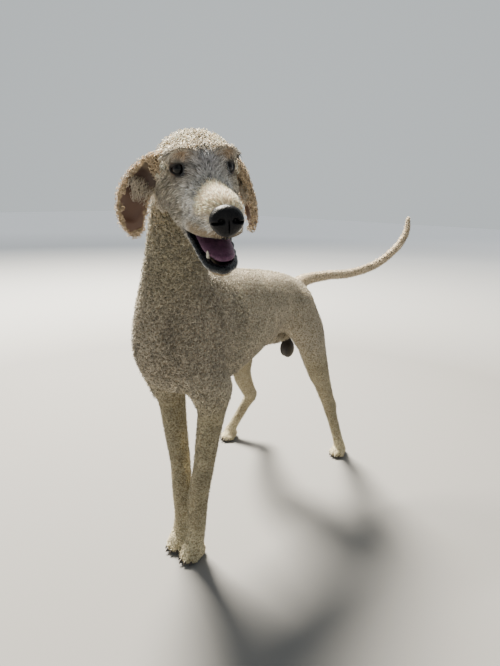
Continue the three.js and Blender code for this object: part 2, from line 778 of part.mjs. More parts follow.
// Legs, cut at the joints, and paws with their toes and claws
const legPieces = (whole, cuts, names) => names.forEach((name, i) => {
  addPart(name, whole.intersect(slab(cuts[i + 1] + gap / 2, cuts[i] - gap / 2)), "coat", 0.95);
});
function addPaw(name, leg, [x, y], radii) {
  let paw = leg.intersect(slab(-reach, pawTop - gap / 2));
  paw = paw.add(ellipsoid(new THREE.Vector3(x, y + padBack, padHeight), radii, worldAxes, 8, 6));
  const roots = [];
  for (const { across, front, height } of toes) {
    const toe = new THREE.Vector3(x + across, y - front, height);
    paw = paw.add(ellipsoid(toe, toeRadii, worldAxes, 6, 4));
    roots.push(toe.add(vector(clawRoot)));
  }
  paw = withoutShortEdges(paw.intersect(slab(0, reach)), toeEdge);
  roots.forEach((root, i) => {
    const cone = joined(new THREE.ConeGeometry(clawRadius, clawLength, 5));
    cone.rotateX(THREE.MathUtils.degToRad(clawTurn));
    cone.translate(root.x, root.y, root.z);
    const claw = solid(cone);
    paw = paw.subtract(swollen(claw));
    addPart(`${name}_claw_${i + 1}`, claw, "claw", 0.4);
  });
  addPart(name, paw, "coat", 0.95);
}
for (const side of ["left", "right"]) {
  const foreWhole = solid(loft(limbs[side].foreleg, { field: legField(side), rings: 15, sides: 12 }));
  legPieces(foreWhole, [forearmTop, pasternTop, pawTop], [`${side}_forearm`, `${side}_front_pastern`]);
  const frontFoot = foreCentres[side][foreCentres[side].length - 1];
  addPaw(`${side}_forepaw`, foreWhole, [frontFoot[0], frontFoot[1] + pawBack.fore], padRadii.fore);
  const { thigh, rearPastern } = limbs[side];
  const upper = solid(loft(thigh, { field: bodyField, from: 0.15, rings: 15, sides: 12, tip: 8 }));
  const lower = solid(loft(rearPastern, { rings: 9, sides: 10 }));
  const hindWhole = upper.add(lower);
  legPieces(hindWhole, [thighCut, gaskinEnd, pawTop], [`${side}_thigh`, `${side}_rear_pastern`]);
  const rearFoot = hindJoints[side].foot;
  addPaw(`${side}_hindpaw`, hindWhole, [rearFoot[0], rearFoot[1] + pawBack.hind], padRadii.hind);
}

// Neck
const neckField = blended([
  [neck, 0],
  [new Sweep(trunkStations), 50],
  [limbs.left.shoulder, 35],
  [limbs.right.shoulder, 35],
]);
const { start: neckStart, end: neckEnd } = neckShares;
const neckRings = { from: neckStart, to: neckEnd, rings: 14, sides: 16 };
const neckWhole = solid(loft(neck, { field: neckField, ...neckRings }));

// Head
const headSweep = (stations) => new Sweep(headStations(stations), headLeft.toArray());
const bareHead = [
  [headSweep(craniumStations), 0],
  [neck, 35],
  [headSweep(muzzleStations), 20],
  [headSweep(browStations), 10],
  [headSweep(mirrored(browStations)), 10],
  [headSweep(cheekStations), 20],
  [headSweep(mirrored(cheekStations)), 20],
  [headSweep(lipStations), 9],
  [headSweep(mirrored(lipStations)), 9],
];
const topknotCore = headSweep(pared(topknotStations, topknotCurls.height));
const headField = blended([...bareHead, [topknotCore, 8]]);
const headBox = new THREE.Box3().setFromCenterAndSize(eyeMiddle, vector(headBounds));
let head = solid(surfaceNet(headField, headBox, headCell)).intersect(aboveTop);

// Curls of the topknot, on a spiral of directions out of the skull, wherever it stands clear of the head
const curlSize = (radius) => radius * (1 + curlSpread * (2 * random() - 1));
const bareField = blended(bareHead);
const topknot = headSweep(topknotStations);
const skullMiddle = headPoint(skullCentre);
const topknotField = (p) => topknot.distance(p);
for (let i = 0; i < topknotCurls.around; i++) {
  const rise = 1 - (2 * (i + 0.5)) / topknotCurls.around;
  const angle = i * Math.PI * (3 - Math.sqrt(5));
  const flat = Math.sqrt(1 - rise * rise);
  const direction = headDirection([flat * Math.cos(angle), flat * Math.sin(angle), rise]);
  const arm = direction.clone().multiplyScalar(skullReach);
  const tip = skullMiddle.clone().addScaledVector(arm, shareToSurface(topknotField, skullMiddle, arm));
  if (bareField(tip) < topknotEdge) continue;
  const size = curlSize(topknotCurls.radius);
  const curl = ellipsoid(tip.addScaledVector(direction, -size), [size, size, size], headAxes, 6, 4);
  head = head.add(curl);
}
head = withoutShortEdges(largest(head), curlEdge);

// Mouth, jaw and tongue
const tongue = solid(loft(headSweep(tongueStations), { rings: 7, sides: 8, tip: 4 }));
const jaw = solid(loft(headSweep(jawStations), { rings: 10, sides: 12, tip: 5 }));
const palate = solid(loft(headSweep(palateStations), { rings: 7, sides: 10, tip: 6 }));
const gape = new THREE.Shape([
  new THREE.Vector2(...mouthCorner), new THREE.Vector2(...upperLipFront), new THREE.Vector2(...lowerEdge),
]);
const gapeGeometry = joined(new THREE.ExtrudeGeometry(gape, { depth: gapeWidth, bevelEnabled: false }));
gapeGeometry.translate(0, 0, -gapeWidth / 2);
const headBasis = new THREE.Matrix4().makeBasis(headAxes[1], headAxes[2], headAxes[0]);
headBasis.setPosition(eyeMiddle);
gapeGeometry.applyMatrix4(headBasis);
head = head.subtract(solid(gapeGeometry)).subtract(palate).subtract(swollen(jaw)).subtract(swollen(tongue));
// A tooth's cone stands along the head's up axis with its base in the jaw
function lowerCanine() {
  const cone = joined(new THREE.ConeGeometry(canine.radius, canine.length, 5));
  cone.rotateX(Math.PI / 2);
  cone.translate(0, 0, canine.length / 2);
  const place = new THREE.Matrix4().makeBasis(...headAxes);
  cone.applyMatrix4(place.setPosition(headPoint(canine.root)));
  return solid(cone);
}
const lowerJaw = jaw.add(lowerCanine());
addPart("lower_jaw", lowerJaw.subtract(swollen(tongue)).intersect(aboveTop), "face", 0.9);
addPart("tongue", tongue.intersect(aboveTop), "tongue", 0.45);

// Nose with its wings and nostrils
function onNose({ place, radii }, sign = 1) {
  const [left, back, up] = noseCentre.map((value, i) => value + place[i] * (i === 0 ? sign : 1));
  return ellipsoid(headPoint([left, back, up]), radii, headAxes, 6, 4);
}
let noseLeather = ellipsoid(headPoint(noseCentre), noseRadii, headAxes, 10, 8);
noseLeather = noseLeather.add(onNose(noseLip)).add(onNose(noseWing)).add(onNose(noseWing, -1));
head = head.subtract(swollen(noseLeather));
for (const sign of [-1, 1])
  noseLeather = noseLeather.subtract(onNose(nostril, sign)).subtract(onNose(nostrilSlit, sign));
addPart("nose", noseLeather, "nose", 0.35);

// Eyes in their lids
for (const side of ["left", "right"]) {
  const sign = side === "left" ? 1 : -1;
  const centre = headPoint([sign * eyeCentre[0], eyeCentre[1], eyeCentre[2]]);
  const gaze = THREE.MathUtils.degToRad(eyeTurn) * sign;
  const outward = headDirection([Math.sin(gaze), -Math.cos(gaze), 0]);
  const across = headDirection([Math.cos(gaze), Math.sin(gaze), 0]);
  const axes = [across, outward.clone().negate(), headUp];
  const ball = (radius) => ellipsoid(centre, [radius, radius, radius], axes, 10, 8);
  head = head.add(ball(eyeRadius + lidThickness));
  const opening = centre.clone().addScaledVector(outward, eyeRadius);
  head = head.subtract(ellipsoid(opening, lidOpening, axes, 10, 6));
  head = head.subtract(ball(eyeRadius + gap));
  addPart(`${side}_eye`, ball(eyeRadius), "eye", 0.12);
}

// Ears: hanging flaps with curls over the outer face, the inner face hollowed into a cup
function earBody(core, tips, outward) {
  let body = solid(loft(core, { rings: 8, sides: 10, tip: 5 }));
  const { radius, flatter, rows, first, last, across } = earCurls;
  for (let i = 0; i < rows; i++) {
    const row = tips.at(first + ((last - first) * i) / (rows - 1));
    const sign = Math.sign(row.side.dot(outward));
    const count = across[i % across.length];
    for (let j = 0; j < count; j++) {
      const size = curlSize(radius);
      const place = (2 * j) / (count - 1) - 1;
      const centre = row.centre.clone().addScaledVector(row.up, (row.height - size) * place);
      centre.addScaledVector(row.tangent, curlStray * (2 * random() - 1));
      centre.addScaledVector(row.side, sign * (row.width - size * flatter));
      const axes = [row.side, row.up, row.tangent];
      body = body.add(ellipsoid(centre, [size * flatter, size, size], axes, 6, 4));
    }
  }
  return withoutShortEdges(largest(body), curlEdge);
}
let neckBody = neckWhole.intersect(aboveBase).intersect(belowTop);
for (const side of ["left", "right"]) {
  const outward = headDirection(ears[side].outward);
  const sweep = (stations) => new Sweep(headStations(stations), outward.toArray());
  const core = sweep(pared(ears[side].stations, earCoreThinner, earCurls.height));
  const body = earBody(core, sweep(ears[side].stations), outward);
  const socket = swollen(body);
  head = head.subtract(socket);
  neckBody = neckBody.subtract(socket);
  const { centre, side: across, up, tangent, width } = core.at(0.5);
  const inward = across.clone().multiplyScalar(-Math.sign(across.dot(outward)));
  const cup = centre.clone().addScaledVector(inward, width + earCup.radii[0] - earCup.depth);
  const hollow = ellipsoid(cup, earCup.radii, [inward, up, tangent], 9, 6);
  addPart(`${side}_ear`, body.subtract(hollow), "ear", 0.95);
}
addPart("neck", neckBody, "coat", 0.95);
addPart("head", head, "face", 0.95);

// The origin is under the middle of the box round the whole dog, on the floor
const dog = new THREE.Group();
for (const part of parts) dog.add(part);
const middle = new THREE.Box3().setFromObject(dog).getCenter(new THREE.Vector3());
dog.position.set(-middle.x, -middle.y, 0);
dog.updateMatrixWorld(true);

export default dog;
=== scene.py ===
# Standard poodle, an adult male in a short clip, standing with his head turned and his mouth open.
# Shapes are worked out in millimetres in the dog's own frame: he faces -Y, his left is +X, and the
# soles stand on Z = 0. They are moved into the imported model's frame, in metres, as meshes are made.
import math

import bpy
import numpy as np
from mathutils import Matrix, Vector


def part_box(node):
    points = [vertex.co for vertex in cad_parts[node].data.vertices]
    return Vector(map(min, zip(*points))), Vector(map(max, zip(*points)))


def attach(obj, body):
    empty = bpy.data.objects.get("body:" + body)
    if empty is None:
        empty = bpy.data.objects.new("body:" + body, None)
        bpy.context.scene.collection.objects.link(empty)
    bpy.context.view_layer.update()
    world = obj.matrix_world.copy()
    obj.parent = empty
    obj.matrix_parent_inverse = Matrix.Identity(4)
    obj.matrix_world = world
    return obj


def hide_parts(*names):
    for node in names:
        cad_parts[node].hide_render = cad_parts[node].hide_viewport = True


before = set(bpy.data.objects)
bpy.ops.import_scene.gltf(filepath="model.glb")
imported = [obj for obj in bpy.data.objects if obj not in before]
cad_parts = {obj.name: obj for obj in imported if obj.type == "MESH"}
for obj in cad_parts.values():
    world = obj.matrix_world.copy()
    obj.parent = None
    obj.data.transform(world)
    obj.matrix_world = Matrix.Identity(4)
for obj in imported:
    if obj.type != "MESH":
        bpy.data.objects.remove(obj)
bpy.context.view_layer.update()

mm = 0.001
farAway = 1e4  # further than anything on the dog, in millimetres
sides = {"left": 1, "right": -1}


# Small tools for shapes
def unit(rows):
    return rows / np.maximum(np.linalg.norm(rows, axis=-1, keepdims=True), 1e-9)


def dot(a, b):
    return np.einsum("...i,...i->...", a, b)


def smoothStep(low, high, x):  # 3t^2 - 2t^3 of the share of the way from low to high
    t = np.clip((x - low) / (high - low), 0, 1)
    return t * t * (3 - 2 * t)


def smoothMin(a, b, blend):  # the smaller of the two, rounded where they are less than blend apart
    if blend <= 0:
        return np.minimum(a, b)
    share = np.clip(0.5 + 0.5 * (b - a) / blend, 0, 1)
    return b * (1 - share) + a * share - blend * share * (1 - share)


def smoothMax(a, b, blend):
    return -smoothMin(-a, -b, blend)


def mix(a, b, share):
    return a * (1 - share) + b * share


# Soft random values between 0 and 1: a hash (the fraction of a large multiple of a sine) at each corner
# of a lattice, blended between corners by 3t^2 - 2t^3. size is the lattice's step along each axis.
lattice = {"weights": (12.9898, 78.233, 37.719), "seedStep": 4.1, "stretch": 43758.5453}


def softNoise(points, size, seed=0):
    place = points / np.asarray(size, float)
    cell = np.floor(place)
    share = smoothStep(0, 1, place - cell)
    total = np.zeros(len(points))
    for corner in np.ndindex(2, 2, 2):
        wave = np.sin((cell + corner) @ lattice["weights"] + seed * lattice["seedStep"]) * lattice["stretch"]
        total += (wave - np.floor(wave)) * np.prod(np.where(corner, share, 1 - share), 1)
    return total


# Catmull-Rom curve through rows: half of 2b + (c-a)t + (2a-5b+4c-d)t^2 + (3b-a-3c+d)t^3 in each span
def smoothRows(rows, steps):
    rows = np.asarray(rows, float)
    rows = np.vstack([2 * rows[0] - rows[1], rows, 2 * rows[-1] - rows[-2]])
    a, b, c, d = (rows[i : len(rows) - 3 + i, None] for i in range(4))
    t = np.linspace(0, 1, steps, endpoint=False)[None, :, None]
    spans = 2 * b + (c - a) * t + (2 * a - 5 * b + 4 * c - d) * t**2 + (3 * b - a - 3 * c + d) * t**3
    return np.vstack([0.5 * spans.reshape(-1, rows.shape[1]), rows[-2]])


def pared(stations, width, height=None):  # the same stations with less half width and half height
    height = width if height is None else height
    return [[x, y, z, w - width, h - height, *rest] for x, y, z, w, h, *rest in stations]


def mirrored(stations):
    return [[-x, *rest] for x, *rest in stations]


# Oval sections swept along a smooth curve. The distance is the way to the nearest centre line point
# times 1 - 1/q, where q is that way measured in the section's own half width and half height.
class Sweep:
    margin = 1.3  # the surface is never further from the centre line than this many half widths
    def __init__(self, stations, side=(1, 0, 0), steps=6):
        rows = smoothRows([list(row) + [0.0] * (6 - len(row)) for row in stations], steps)
        self.centre, self.width, self.height, self.egg = rows[:, :3], rows[:, 3], rows[:, 4], rows[:, 5]
        self.tangent = unit(np.gradient(self.centre, axis=0))
        side = np.asarray(side, float)
        self.side = unit(side - (self.tangent @ side)[:, None] * self.tangent)
        self.up = np.cross(self.tangent, self.side)
        most = np.maximum(self.width, self.height) * (1 + abs(self.egg))
        self.low = (self.centre - most[:, None]).min(0)
        self.high = (self.centre + most[:, None]).max(0)

    def locate(self, points):  # distance, share of the way along, and angle round the centre line
        best = np.full(len(points), farAway)
        share, angle = np.zeros(len(points)), np.zeros(len(points))
        last = len(self.centre) - 1
        for i in range(last):
            step = self.centre[i + 1] - self.centre[i]
            t = np.clip((points - self.centre[i]) @ step / (step @ step), 0, 1)
            arm = points - self.centre[i] - t[:, None] * step
            far = np.sqrt(dot(arm, arm))
            reach = self.margin * max(self.width[i : i + 2].max(), self.height[i : i + 2].max())
            near = np.nonzero(far - reach < best)[0]
            if len(near) == 0:
                continue
            t, arm, far = t[near], arm[near], far[near]
            along, above = (mix(arm @ axis[i], arm @ axis[i + 1], t) for axis in (self.side, self.up))
            width, height, egg = (mix(row[i], row[i + 1], t) for row in (self.width, self.height, self.egg))
            wide = width * (1 + egg * np.clip(above / height, -1, 1))
            past = np.maximum(far**2 - along**2 - above**2, 0) / (width * height)
            q = np.sqrt((along / wide) ** 2 + (above / height) ** 2 + past)
            value = np.where(far > 1e-6, far * (1 - 1 / np.maximum(q, 1e-6)), -np.minimum(width, height))
            won = value < best[near]
            best[near[won]] = value[won]
            share[near[won]] = (i + t[won]) / last
            angle[near[won]] = np.arctan2(above[won], along[won])
        return best, share, angle

    def distance(self, points):
        return self.locate(points)[0]

    def at(self, share):  # centre, side, up, tangent, width and height at shares of the way along
        place, marks = np.clip(share, 0, 1) * (len(self.centre) - 1), np.arange(len(self.centre))
        vectors = [np.stack([np.interp(place, marks, column) for column in rows.T], -1)
                   for rows in (self.centre, self.side, self.up, self.tangent)]
        return *vectors, np.interp(place, marks, self.width), np.interp(place, marks, self.height)


# A ball with three radii along three axes. The distance is the way to its centre times 1 - 1/q.
class Ball:
    def __init__(self, centre, radii, axes=np.eye(3)):
        self.centre, self.radii, self.axes = np.asarray(centre, float), np.asarray(radii, float), axes
        self.low, self.high = self.centre - self.radii.max(), self.centre + self.radii.max()

    def distance(self, points):
        arm = points - self.centre
        q = np.linalg.norm(arm @ self.axes.T / self.radii, axis=1)
        return np.linalg.norm(arm, axis=1) * (1 - 1 / np.maximum(q, 1e-3))


# One shape with another cut out of it
class Carved:
    def __init__(self, body, cut, blend):
        self.body, self.cut, self.blend = body, cut, blend
        self.low, self.high = body.low, body.high

    def distance(self, points):
        return smoothMax(self.body.distance(points), -self.cut.distance(points), self.blend)


def boxGap(shape, points):  # the square of the way from each point to the shape's box
    outside = np.maximum(shape.low - points, 0) + np.maximum(points - shape.high, 0)
    return dot(outside, outside)


def blended(shapes, reach=200):  # each shape melts into those before it, and is worked out near its box
    def field(points):
        value = np.full(len(points), farAway)
        for shape, blend in shapes:
            near = np.nonzero(np.sqrt(boxGap(shape, points)) < np.minimum(value, reach) + blend)[0]
            if len(near):
                value[near] = smoothMin(value[near], shape.distance(points[near]), blend)
        return value

    return field


# Head: the middle between the eyes, and how the head turns, nods and tilts, in degrees
pose = {"eyeMiddle": (218.5, -191.6, 830.5), "turn": 51.35, "nod": -8.76, "tilt": 4.8}
eyeMiddle = np.array(pose["eyeMiddle"])
turn, nod, tilt = (math.radians(pose[name]) for name in ("turn", "nod", "tilt"))
headForward = np.array([math.sin(turn) * math.cos(nod), -math.cos(turn) * math.cos(nod), math.sin(nod)])
levelLeft = np.array([math.cos(turn), math.sin(turn), 0])
levelUp = np.cross(headForward, levelLeft)
headLeft = levelLeft * math.cos(tilt) + levelUp * math.sin(tilt)
headUp = levelUp * math.cos(tilt) - levelLeft * math.sin(tilt)
headAxes = np.array([headLeft, -headForward, headUp])  # to the left, backwards and up


def headPoint(local):
    return eyeMiddle + np.asarray(local, float) @ headAxes


def headLocal(points):
    return (points - eyeMiddle) @ headAxes.T


def headSweep(stations, side=headLeft):
    return Sweep([[*headPoint(row[:3]), *row[3:]] for row in stations], side)


eye = {
    "centre": (31, 9.5, 0), "radius": 11.5, "turn": 21, "opening": (13.5, 9, 7.6), "edgeBlend": 1.5,
    "lid": 2.4, "lidBlend": 4, "gap": 0.2, "gapBlend": 0.5, "reach": 45,
    "rim": (18.5, 8.8), "rimShift": 2, "rimReach": 26,  # the dark skin round the lids
}
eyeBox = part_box("left_eye")
shift = np.array((eyeBox[0] + eyeBox[1]) / 2) - headPoint(eye["centre"]) * mm


# Puts points and faces into a mesh object. faces has a row of four points for each face, or else it is a
# pair: the points of all faces in one row, and how many each face has.
def addPiece(name, points, faces, material, slot, replaced=(), tones=None, floats=None, unwrap=None):
    corners, sizes = faces if isinstance(faces, tuple) else (faces.ravel(), np.full(len(faces), 4))
    mesh = bpy.data.meshes.new(name)
    mesh.vertices.add(len(points))
    mesh.vertices.foreach_set("co", (points * mm + shift).astype(np.float32).ravel())
    mesh.loops.add(len(corners))
    mesh.loops.foreach_set("vertex_index", corners.astype(np.int32))
    mesh.polygons.add(len(sizes))
    mesh.polygons.foreach_set("loop_start", (np.cumsum(sizes) - sizes).astype(np.int32))
    mesh.polygons.foreach_set("use_smooth", np.ones(len(sizes), bool))
    mesh.update(calc_edges=True)
    if tones is not None:
        colours = np.hstack([tones, np.ones((len(tones), 1))]).astype(np.float32)
        mesh.attributes.new("tone", "FLOAT_COLOR", "POINT").data.foreach_set("color", colours.ravel())
    for key, values in (floats or {}).items():
        mesh.attributes.new(key, "FLOAT", "POINT").data.foreach_set("value", values.astype(np.float32))
    if unwrap is not None:
        mesh.uv_layers.new(name="OFBake").uv.foreach_set("vector", unwrap.astype(np.float32).ravel())
    piece = bpy.data.objects.new(name, mesh)
    bpy.context.scene.collection.objects.link(piece)
    mesh.materials.append(material)
    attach(piece, "root")
    if replaced:
        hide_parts(*replaced)


def gridFaces(rows, columns):  # four-sided faces of a grid whose columns close on themselves
    i, j = np.meshgrid(np.arange(rows - 1), np.arange(columns), indexing="ij")
    k = (j + 1) % columns
    quads = [i * columns + j, i * columns + k, (i + 1) * columns + k, (i + 1) * columns + j]
    return np.stack(quads, -1).reshape(-1, 4)


# Faces of a tube of rings, closed with a fan to a point at each end
def tubeFaces(rows, columns):
    around = gridFaces(rows, columns)
    j = np.arange(columns)
    k = (j + 1) % columns
    first, last = np.full(columns, rows * columns), np.full(columns, rows * columns + 1)
    start = np.stack([first, k, j], -1)
    end = np.stack([last, (rows - 1) * columns + j, (rows - 1) * columns + k], -1)
    corners = np.concatenate([around.ravel(), start.ravel(), end.ravel()])
    return corners, np.concatenate([np.full(len(around), 4), np.full(2 * columns, 3)])


# Body in millimetres: stations of x, y, z, half width, half height and how much wider the top is
body = {
    "trunk": [
        [2, -75, 535, 36, 58], [2, -30, 525, 64, 108], [2, 50, 514, 78, 134, 0.08],
        [0, 150, 518, 86, 123, 0.08], [0, 250, 527, 80, 101, 0.04], [0, 340, 527, 66, 86],
        [0, 410, 520, 64, 74], [0, 462, 510, 52, 60],
    ],
    "sheath": [[0, 235, 432, 9, 10], [0, 300, 433, 12, 13], [0, 350, 429, 13, 15], [0, 400, 425, 15, 17],
               [0, 446, 428, 13, 17]],
    "neck": [
        [2, 20, 565, 62, 82], [18, -33, 620, 61, 76], [54, -67, 700, 53, 62], [94, -97, 775, 51, 57],
        [119, -110, 812, 46, 51],
    ],
    "shoulder": [[36, 65, 600, 18, 40], [54, 22, 540, 28, 54], [60, -12, 460, 30, 46],
                 [64, 25, 395, 29, 42]],
    "tail": [
        [0, 450, 545, 28, 28], [10, 500, 569, 20, 20], [40, 580, 577, 16.5, 16.5],
        [91, 640, 583, 15.5, 15.5], [146, 690, 610, 14.5, 14.5], [187, 730, 657, 13.5, 13.5],
        [205, 750, 701, 12, 12], [205, 757, 740, 9, 9],
    ],
    # depth of the coat over the skin, and over how far each part melts into those before it
    "coat": {"trunk": 4.5, "sheath": 2.5, "neck": 5, "leg": 3.5, "tail": 3.5, "paw": 1.6},
    "blends": {"sheath": 14, "neck": 50, "shoulder": 35, "foreleg": 30, "thigh": 35, "rearPastern": 9,
               "tail": 12, "pad": 6, "toe": 2.5},
}
legs = {
    "foreCentres": {
        "left": [[62, 35, 400], [55, 35, 350], [50, 28, 290], [45, 20, 220], [39, 10, 150], [37, 8, 85],
                 [37, 0, 40], [37, -12, 22]],
        "right": [[-66, 35, 400], [-60, 35, 350], [-45, 30, 280], [-28, 25, 210], [-17, 19, 140],
                  [-13, 17, 80], [-13, 10, 40], [-13, -2, 22]],
    },
    "foreGirths": [[31, 44], [30, 36], [27, 31], [24.5, 27], [24.5, 26], [22, 23.5], [22.5, 24], [23, 24]],
    "hind": {
        "left": {"hip": [44, 412, 500], "stifle": [84, 440, 365], "middle": [70, 535, 275],
                 "hock": [72, 603, 165], "foot": [102, 632, 30]},
        "right": {"hip": [-44, 412, 500], "stifle": [-110, 362, 361], "middle": [-157, 455, 256],
                  "hock": [-191, 551, 153], "foot": [-240, 507, 30]},
    },
    # joints that a station lies between, share of the way, how far behind, half width and half height
    "thigh": [
        ("hip", "stifle", 0, 0, 36, 64), ("hip", "stifle", 0.45, 20, 37, 62),
        ("hip", "stifle", 0.9, 16, 32, 46), ("stifle", "middle", 0.5, 6, 28, 40),
        ("stifle", "middle", 1, 0, 24, 34), ("middle", "hock", 0.65, 0, 20, 28),
        ("middle", "hock", 1, 4, 19.5, 27),
    ],
    "pasternTop": (5, 14, 10, 11),  # behind and above the hock, half width and half height
    "pastern": [
        ("hock", "foot", 0.06, 0, 18, 24), ("hock", "foot", 0.35, 0, 17, 21.5),
        ("hock", "foot", 0.8, 0, 17, 20), ("hock", "foot", 1, 0, 20, 20),
    ],
}
paws = {
    "toes": [(-15.5, 10, 11), (-5.8, 19, 12), (5.8, 19, 12), (15.5, 10, 11)],  # across, ahead and up
    "toeRadii": (8.4, 14, 11.5),
    "back": {"fore": 4, "hind": -6},
    "padBack": 4,
    "padHeight": 15,
    "padRadii": {"fore": (24, 32, 20), "hind": (22, 32, 20)},
    "sole": 0.8,  # height of the bare underside over the floor
    "soleBlend": 1.5,
}


def planned(plan, joints):
    rows = []
    for start, end, share, back, width, height in plan:
        a, b = np.array(joints[start], float), np.array(joints[end], float)
        rows.append([*(a + (b - a) * share + [0, back, 0]), width, height])
    return rows


def rearPasternRows(joints):
    back, above, width, height = legs["pasternTop"]
    x, y, z = joints["hock"]
    return [[x, y + back, z + above, width, height]] + planned(legs["pastern"], joints)


coatDepth, blends = body["coat"], body["blends"]
trunk = Sweep(pared(body["trunk"], coatDepth["trunk"]))
neck = Sweep(pared(body["neck"], coatDepth["neck"]))
tail = Sweep(pared(body["tail"], coatDepth["tail"]))
limbs, pawShapes, footCentres = {}, [], {}
for side in sides:
    shoulder = body["shoulder"] if side == "left" else mirrored(body["shoulder"])
    joints = legs["hind"][side]
    foreRows = [[*centre, *girth] for centre, girth in zip(legs["foreCentres"][side], legs["foreGirths"])]
    limbs[side] = {
        "shoulder": Sweep(pared(shoulder, coatDepth["trunk"])),
        "foreleg": Sweep(pared(foreRows, coatDepth["leg"])),
        "thigh": Sweep(pared(planned(legs["thigh"], joints), coatDepth["leg"])),
        "rearPastern": Sweep(pared(rearPasternRows(joints), coatDepth["leg"])),
    }
    feet = {"fore": legs["foreCentres"][side][-1], "hind": joints["foot"]}
    for kind, foot in feet.items():
        middle = np.array([foot[0], foot[1] + paws["back"][kind], 0])
        footCentres[side, kind] = middle
        pad = middle + [0, paws["padBack"], paws["padHeight"]]
        pawShapes.append((Ball(pad, np.array(paws["padRadii"][kind]) - coatDepth["paw"]), blends["pad"]))
        for across, ahead, height in paws["toes"]:
            toe = Ball(middle + [across, -ahead, height], np.array(paws["toeRadii"]) - coatDepth["paw"] / 2)
            pawShapes.append((toe, blends["toe"]))
sheath = Sweep(pared(body["sheath"], coatDepth["sheath"]))
bodyShapes = [(trunk, 0), (sheath, blends["sheath"]), (neck, blends["neck"])]
for part in ("shoulder", "foreleg", "thigh", "rearPastern"):
    bodyShapes += [(limbs[side][part], blends[part]) for side in sides]
bodyFlesh = blended(bodyShapes + [(tail, blends["tail"])] + pawShapes)

# Head stations are left, back and up from the middle between the eyes
head = {
    "cranium": [[0, 4, 0, 36, 26], [0, 35, 0, 47, 31], [0, 75, -2, 48, 33], [0, 110, -14, 40, 30]],
    "topknot": [[0, 16, 14, 40, 20], [0, 44, 7, 53, 36], [0, 76, 2, 58, 46], [0, 108, -11, 53, 41]],
    "muzzle": [[0, 30, -30, 46, 42], [0, -12, -36, 36, 37], [0, -55, -40, 31, 30], [0, -88, -42, 28.5, 28],
               [0, -100, -46, 25, 25]],
    "brow": [[15, -8, 20, 7, 7], [32, -3, 23, 8, 7], [47, 14, 15, 7, 7]],
    "cheek": [[34, 30, -34, 16, 22], [42, 58, -34, 16, 28], [38, 82, -40, 14, 22]],
    "lip": [[38, 44, -50, 9, 12], [34, 20, -62, 9, 14], [29, 0, -69, 8, 14], [27, -40, -66, 8.5, 14],
            [21, -84, -62, 9, 13], [9, -104, -60, 8, 11]],
    "jaw": [[0, 72, -50, 26, 14], [0, 40, -70, 34, 20], [0, 8, -86, 30, 18], [0, -45, -103, 23, 13],
            [0, -78, -112, 18.5, 11], [0, -91, -114, 12, 8]],
    "palate": [[0, 8, -78, 20, 12], [0, -45, -72, 19, 11], [0, -92, -68, 13, 8]],
    "tongue": [[0, 24, -74, 18, 7], [1, -20, -84, 18.5, 6.5], [2, -58, -93, 18, 6],
               [3.5, -76, -98, 14.5, 5.2], [1.5, -89, -103, 9.5, 4.2]],
    "mouthCorner": (-4, -78),  # back and up, and the next two as well
    "upperLipFront": (-150, -64),
    "lowerEdge": (-150, -190),
    "gapeBlend": 4,
    "mouthMiddle": (0, -40, -70),
    "mouthReach": (150, 60),  # how far the mouth reaches from its middle and out of the flesh
    "mouthBlend": 3,
    "jawBlend": 5,
    "tongueBed": 2.5,  # gap round the tongue
    "bedBlend": 3,
    "blends": {"neck": 35, "muzzle": 20, "brow": 10, "cheek": 20, "lip": 9, "topknot": 8, "ear": 6},
    "coat": 1.0,
    "topknotCoat": 8.0,
}
ears = {
    "left": {
        "stations": [[42, 50, 4, 10, 20], [60, 57, -8, 11, 28], [75, 62, -44, 10, 35], [82, 62, -76, 9, 31],
                     [83, 60, -98, 6, 17]],
        "outward": (0.97, -0.05, 0.2),
    },
    "right": {
        "stations": [[-42, 50, 4, 10, 20], [-64, 56, -7, 11, 27], [-89, 65, -36, 10, 31],
                     [-96, 71, -70, 9, 28], [-93, 74, -97, 6, 16]],
        "outward": (-0.42, 0.9, 0.1),
    },
    "thinner": 3.5,  # off each face, under the curls
    "narrower": 5.5,
    "cupDepth": 7.5,
    "cupRadii": (11, 23, 42),
    "cupBlend": 7,
}


def faceSweep(rows):
    return headSweep(pared(rows, head["coat"]))


blends = head["blends"]
headShapes = [(faceSweep(head["cranium"]), 0), (neck, blends["neck"]),
              (faceSweep(head["muzzle"]), blends["muzzle"])]
for part in ("brow", "cheek", "lip"):
    headShapes += [(faceSweep(rows), blends[part]) for rows in (head[part], mirrored(head[part]))]
headShapes.append((headSweep(pared(head["topknot"], head["topknotCoat"] + 1)), blends["topknot"]))
topknot = headSweep(head["topknot"])
earShapes = {}
for side in sides:
    outward = np.array(ears[side]["outward"]) @ headAxes
    core = headSweep(pared(ears[side]["stations"], ears["thinner"], ears["narrower"]), outward)
    centre, across, up, tangent, width = core.at(0.5)[:5]
    inward = -across * np.sign(across @ outward)
    cup = Ball(centre + inward * (width + ears["cupRadii"][0] - ears["cupDepth"]), ears["cupRadii"],
               np.array([inward, up, tangent]))
    earShapes[side] = {"core": core, "inward": inward}
    headShapes.append((Carved(core, cup, ears["cupBlend"]), blends["ear"]))
headFlesh = blended(headShapes)
tongueBed = headSweep(pared(head["tongue"], -head["tongueBed"]))
jawShape = Carved(faceSweep(head["jaw"]), tongueBed, head["bedBlend"])
palate = headSweep(head["palate"])


def gape(local):  # below zero between the line of the upper lip and the slanting one under the jaw
    corner = np.array(head["mouthCorner"], float)
    upper, lower = (unit(np.array(head[name]) - corner) for name in ("upperLipFront", "lowerEdge"))
    arm = local[:, 1:] - corner
    return smoothMax(-(arm @ [-upper[1], upper[0]]), arm @ [-lower[1], lower[0]], head["gapeBlend"])


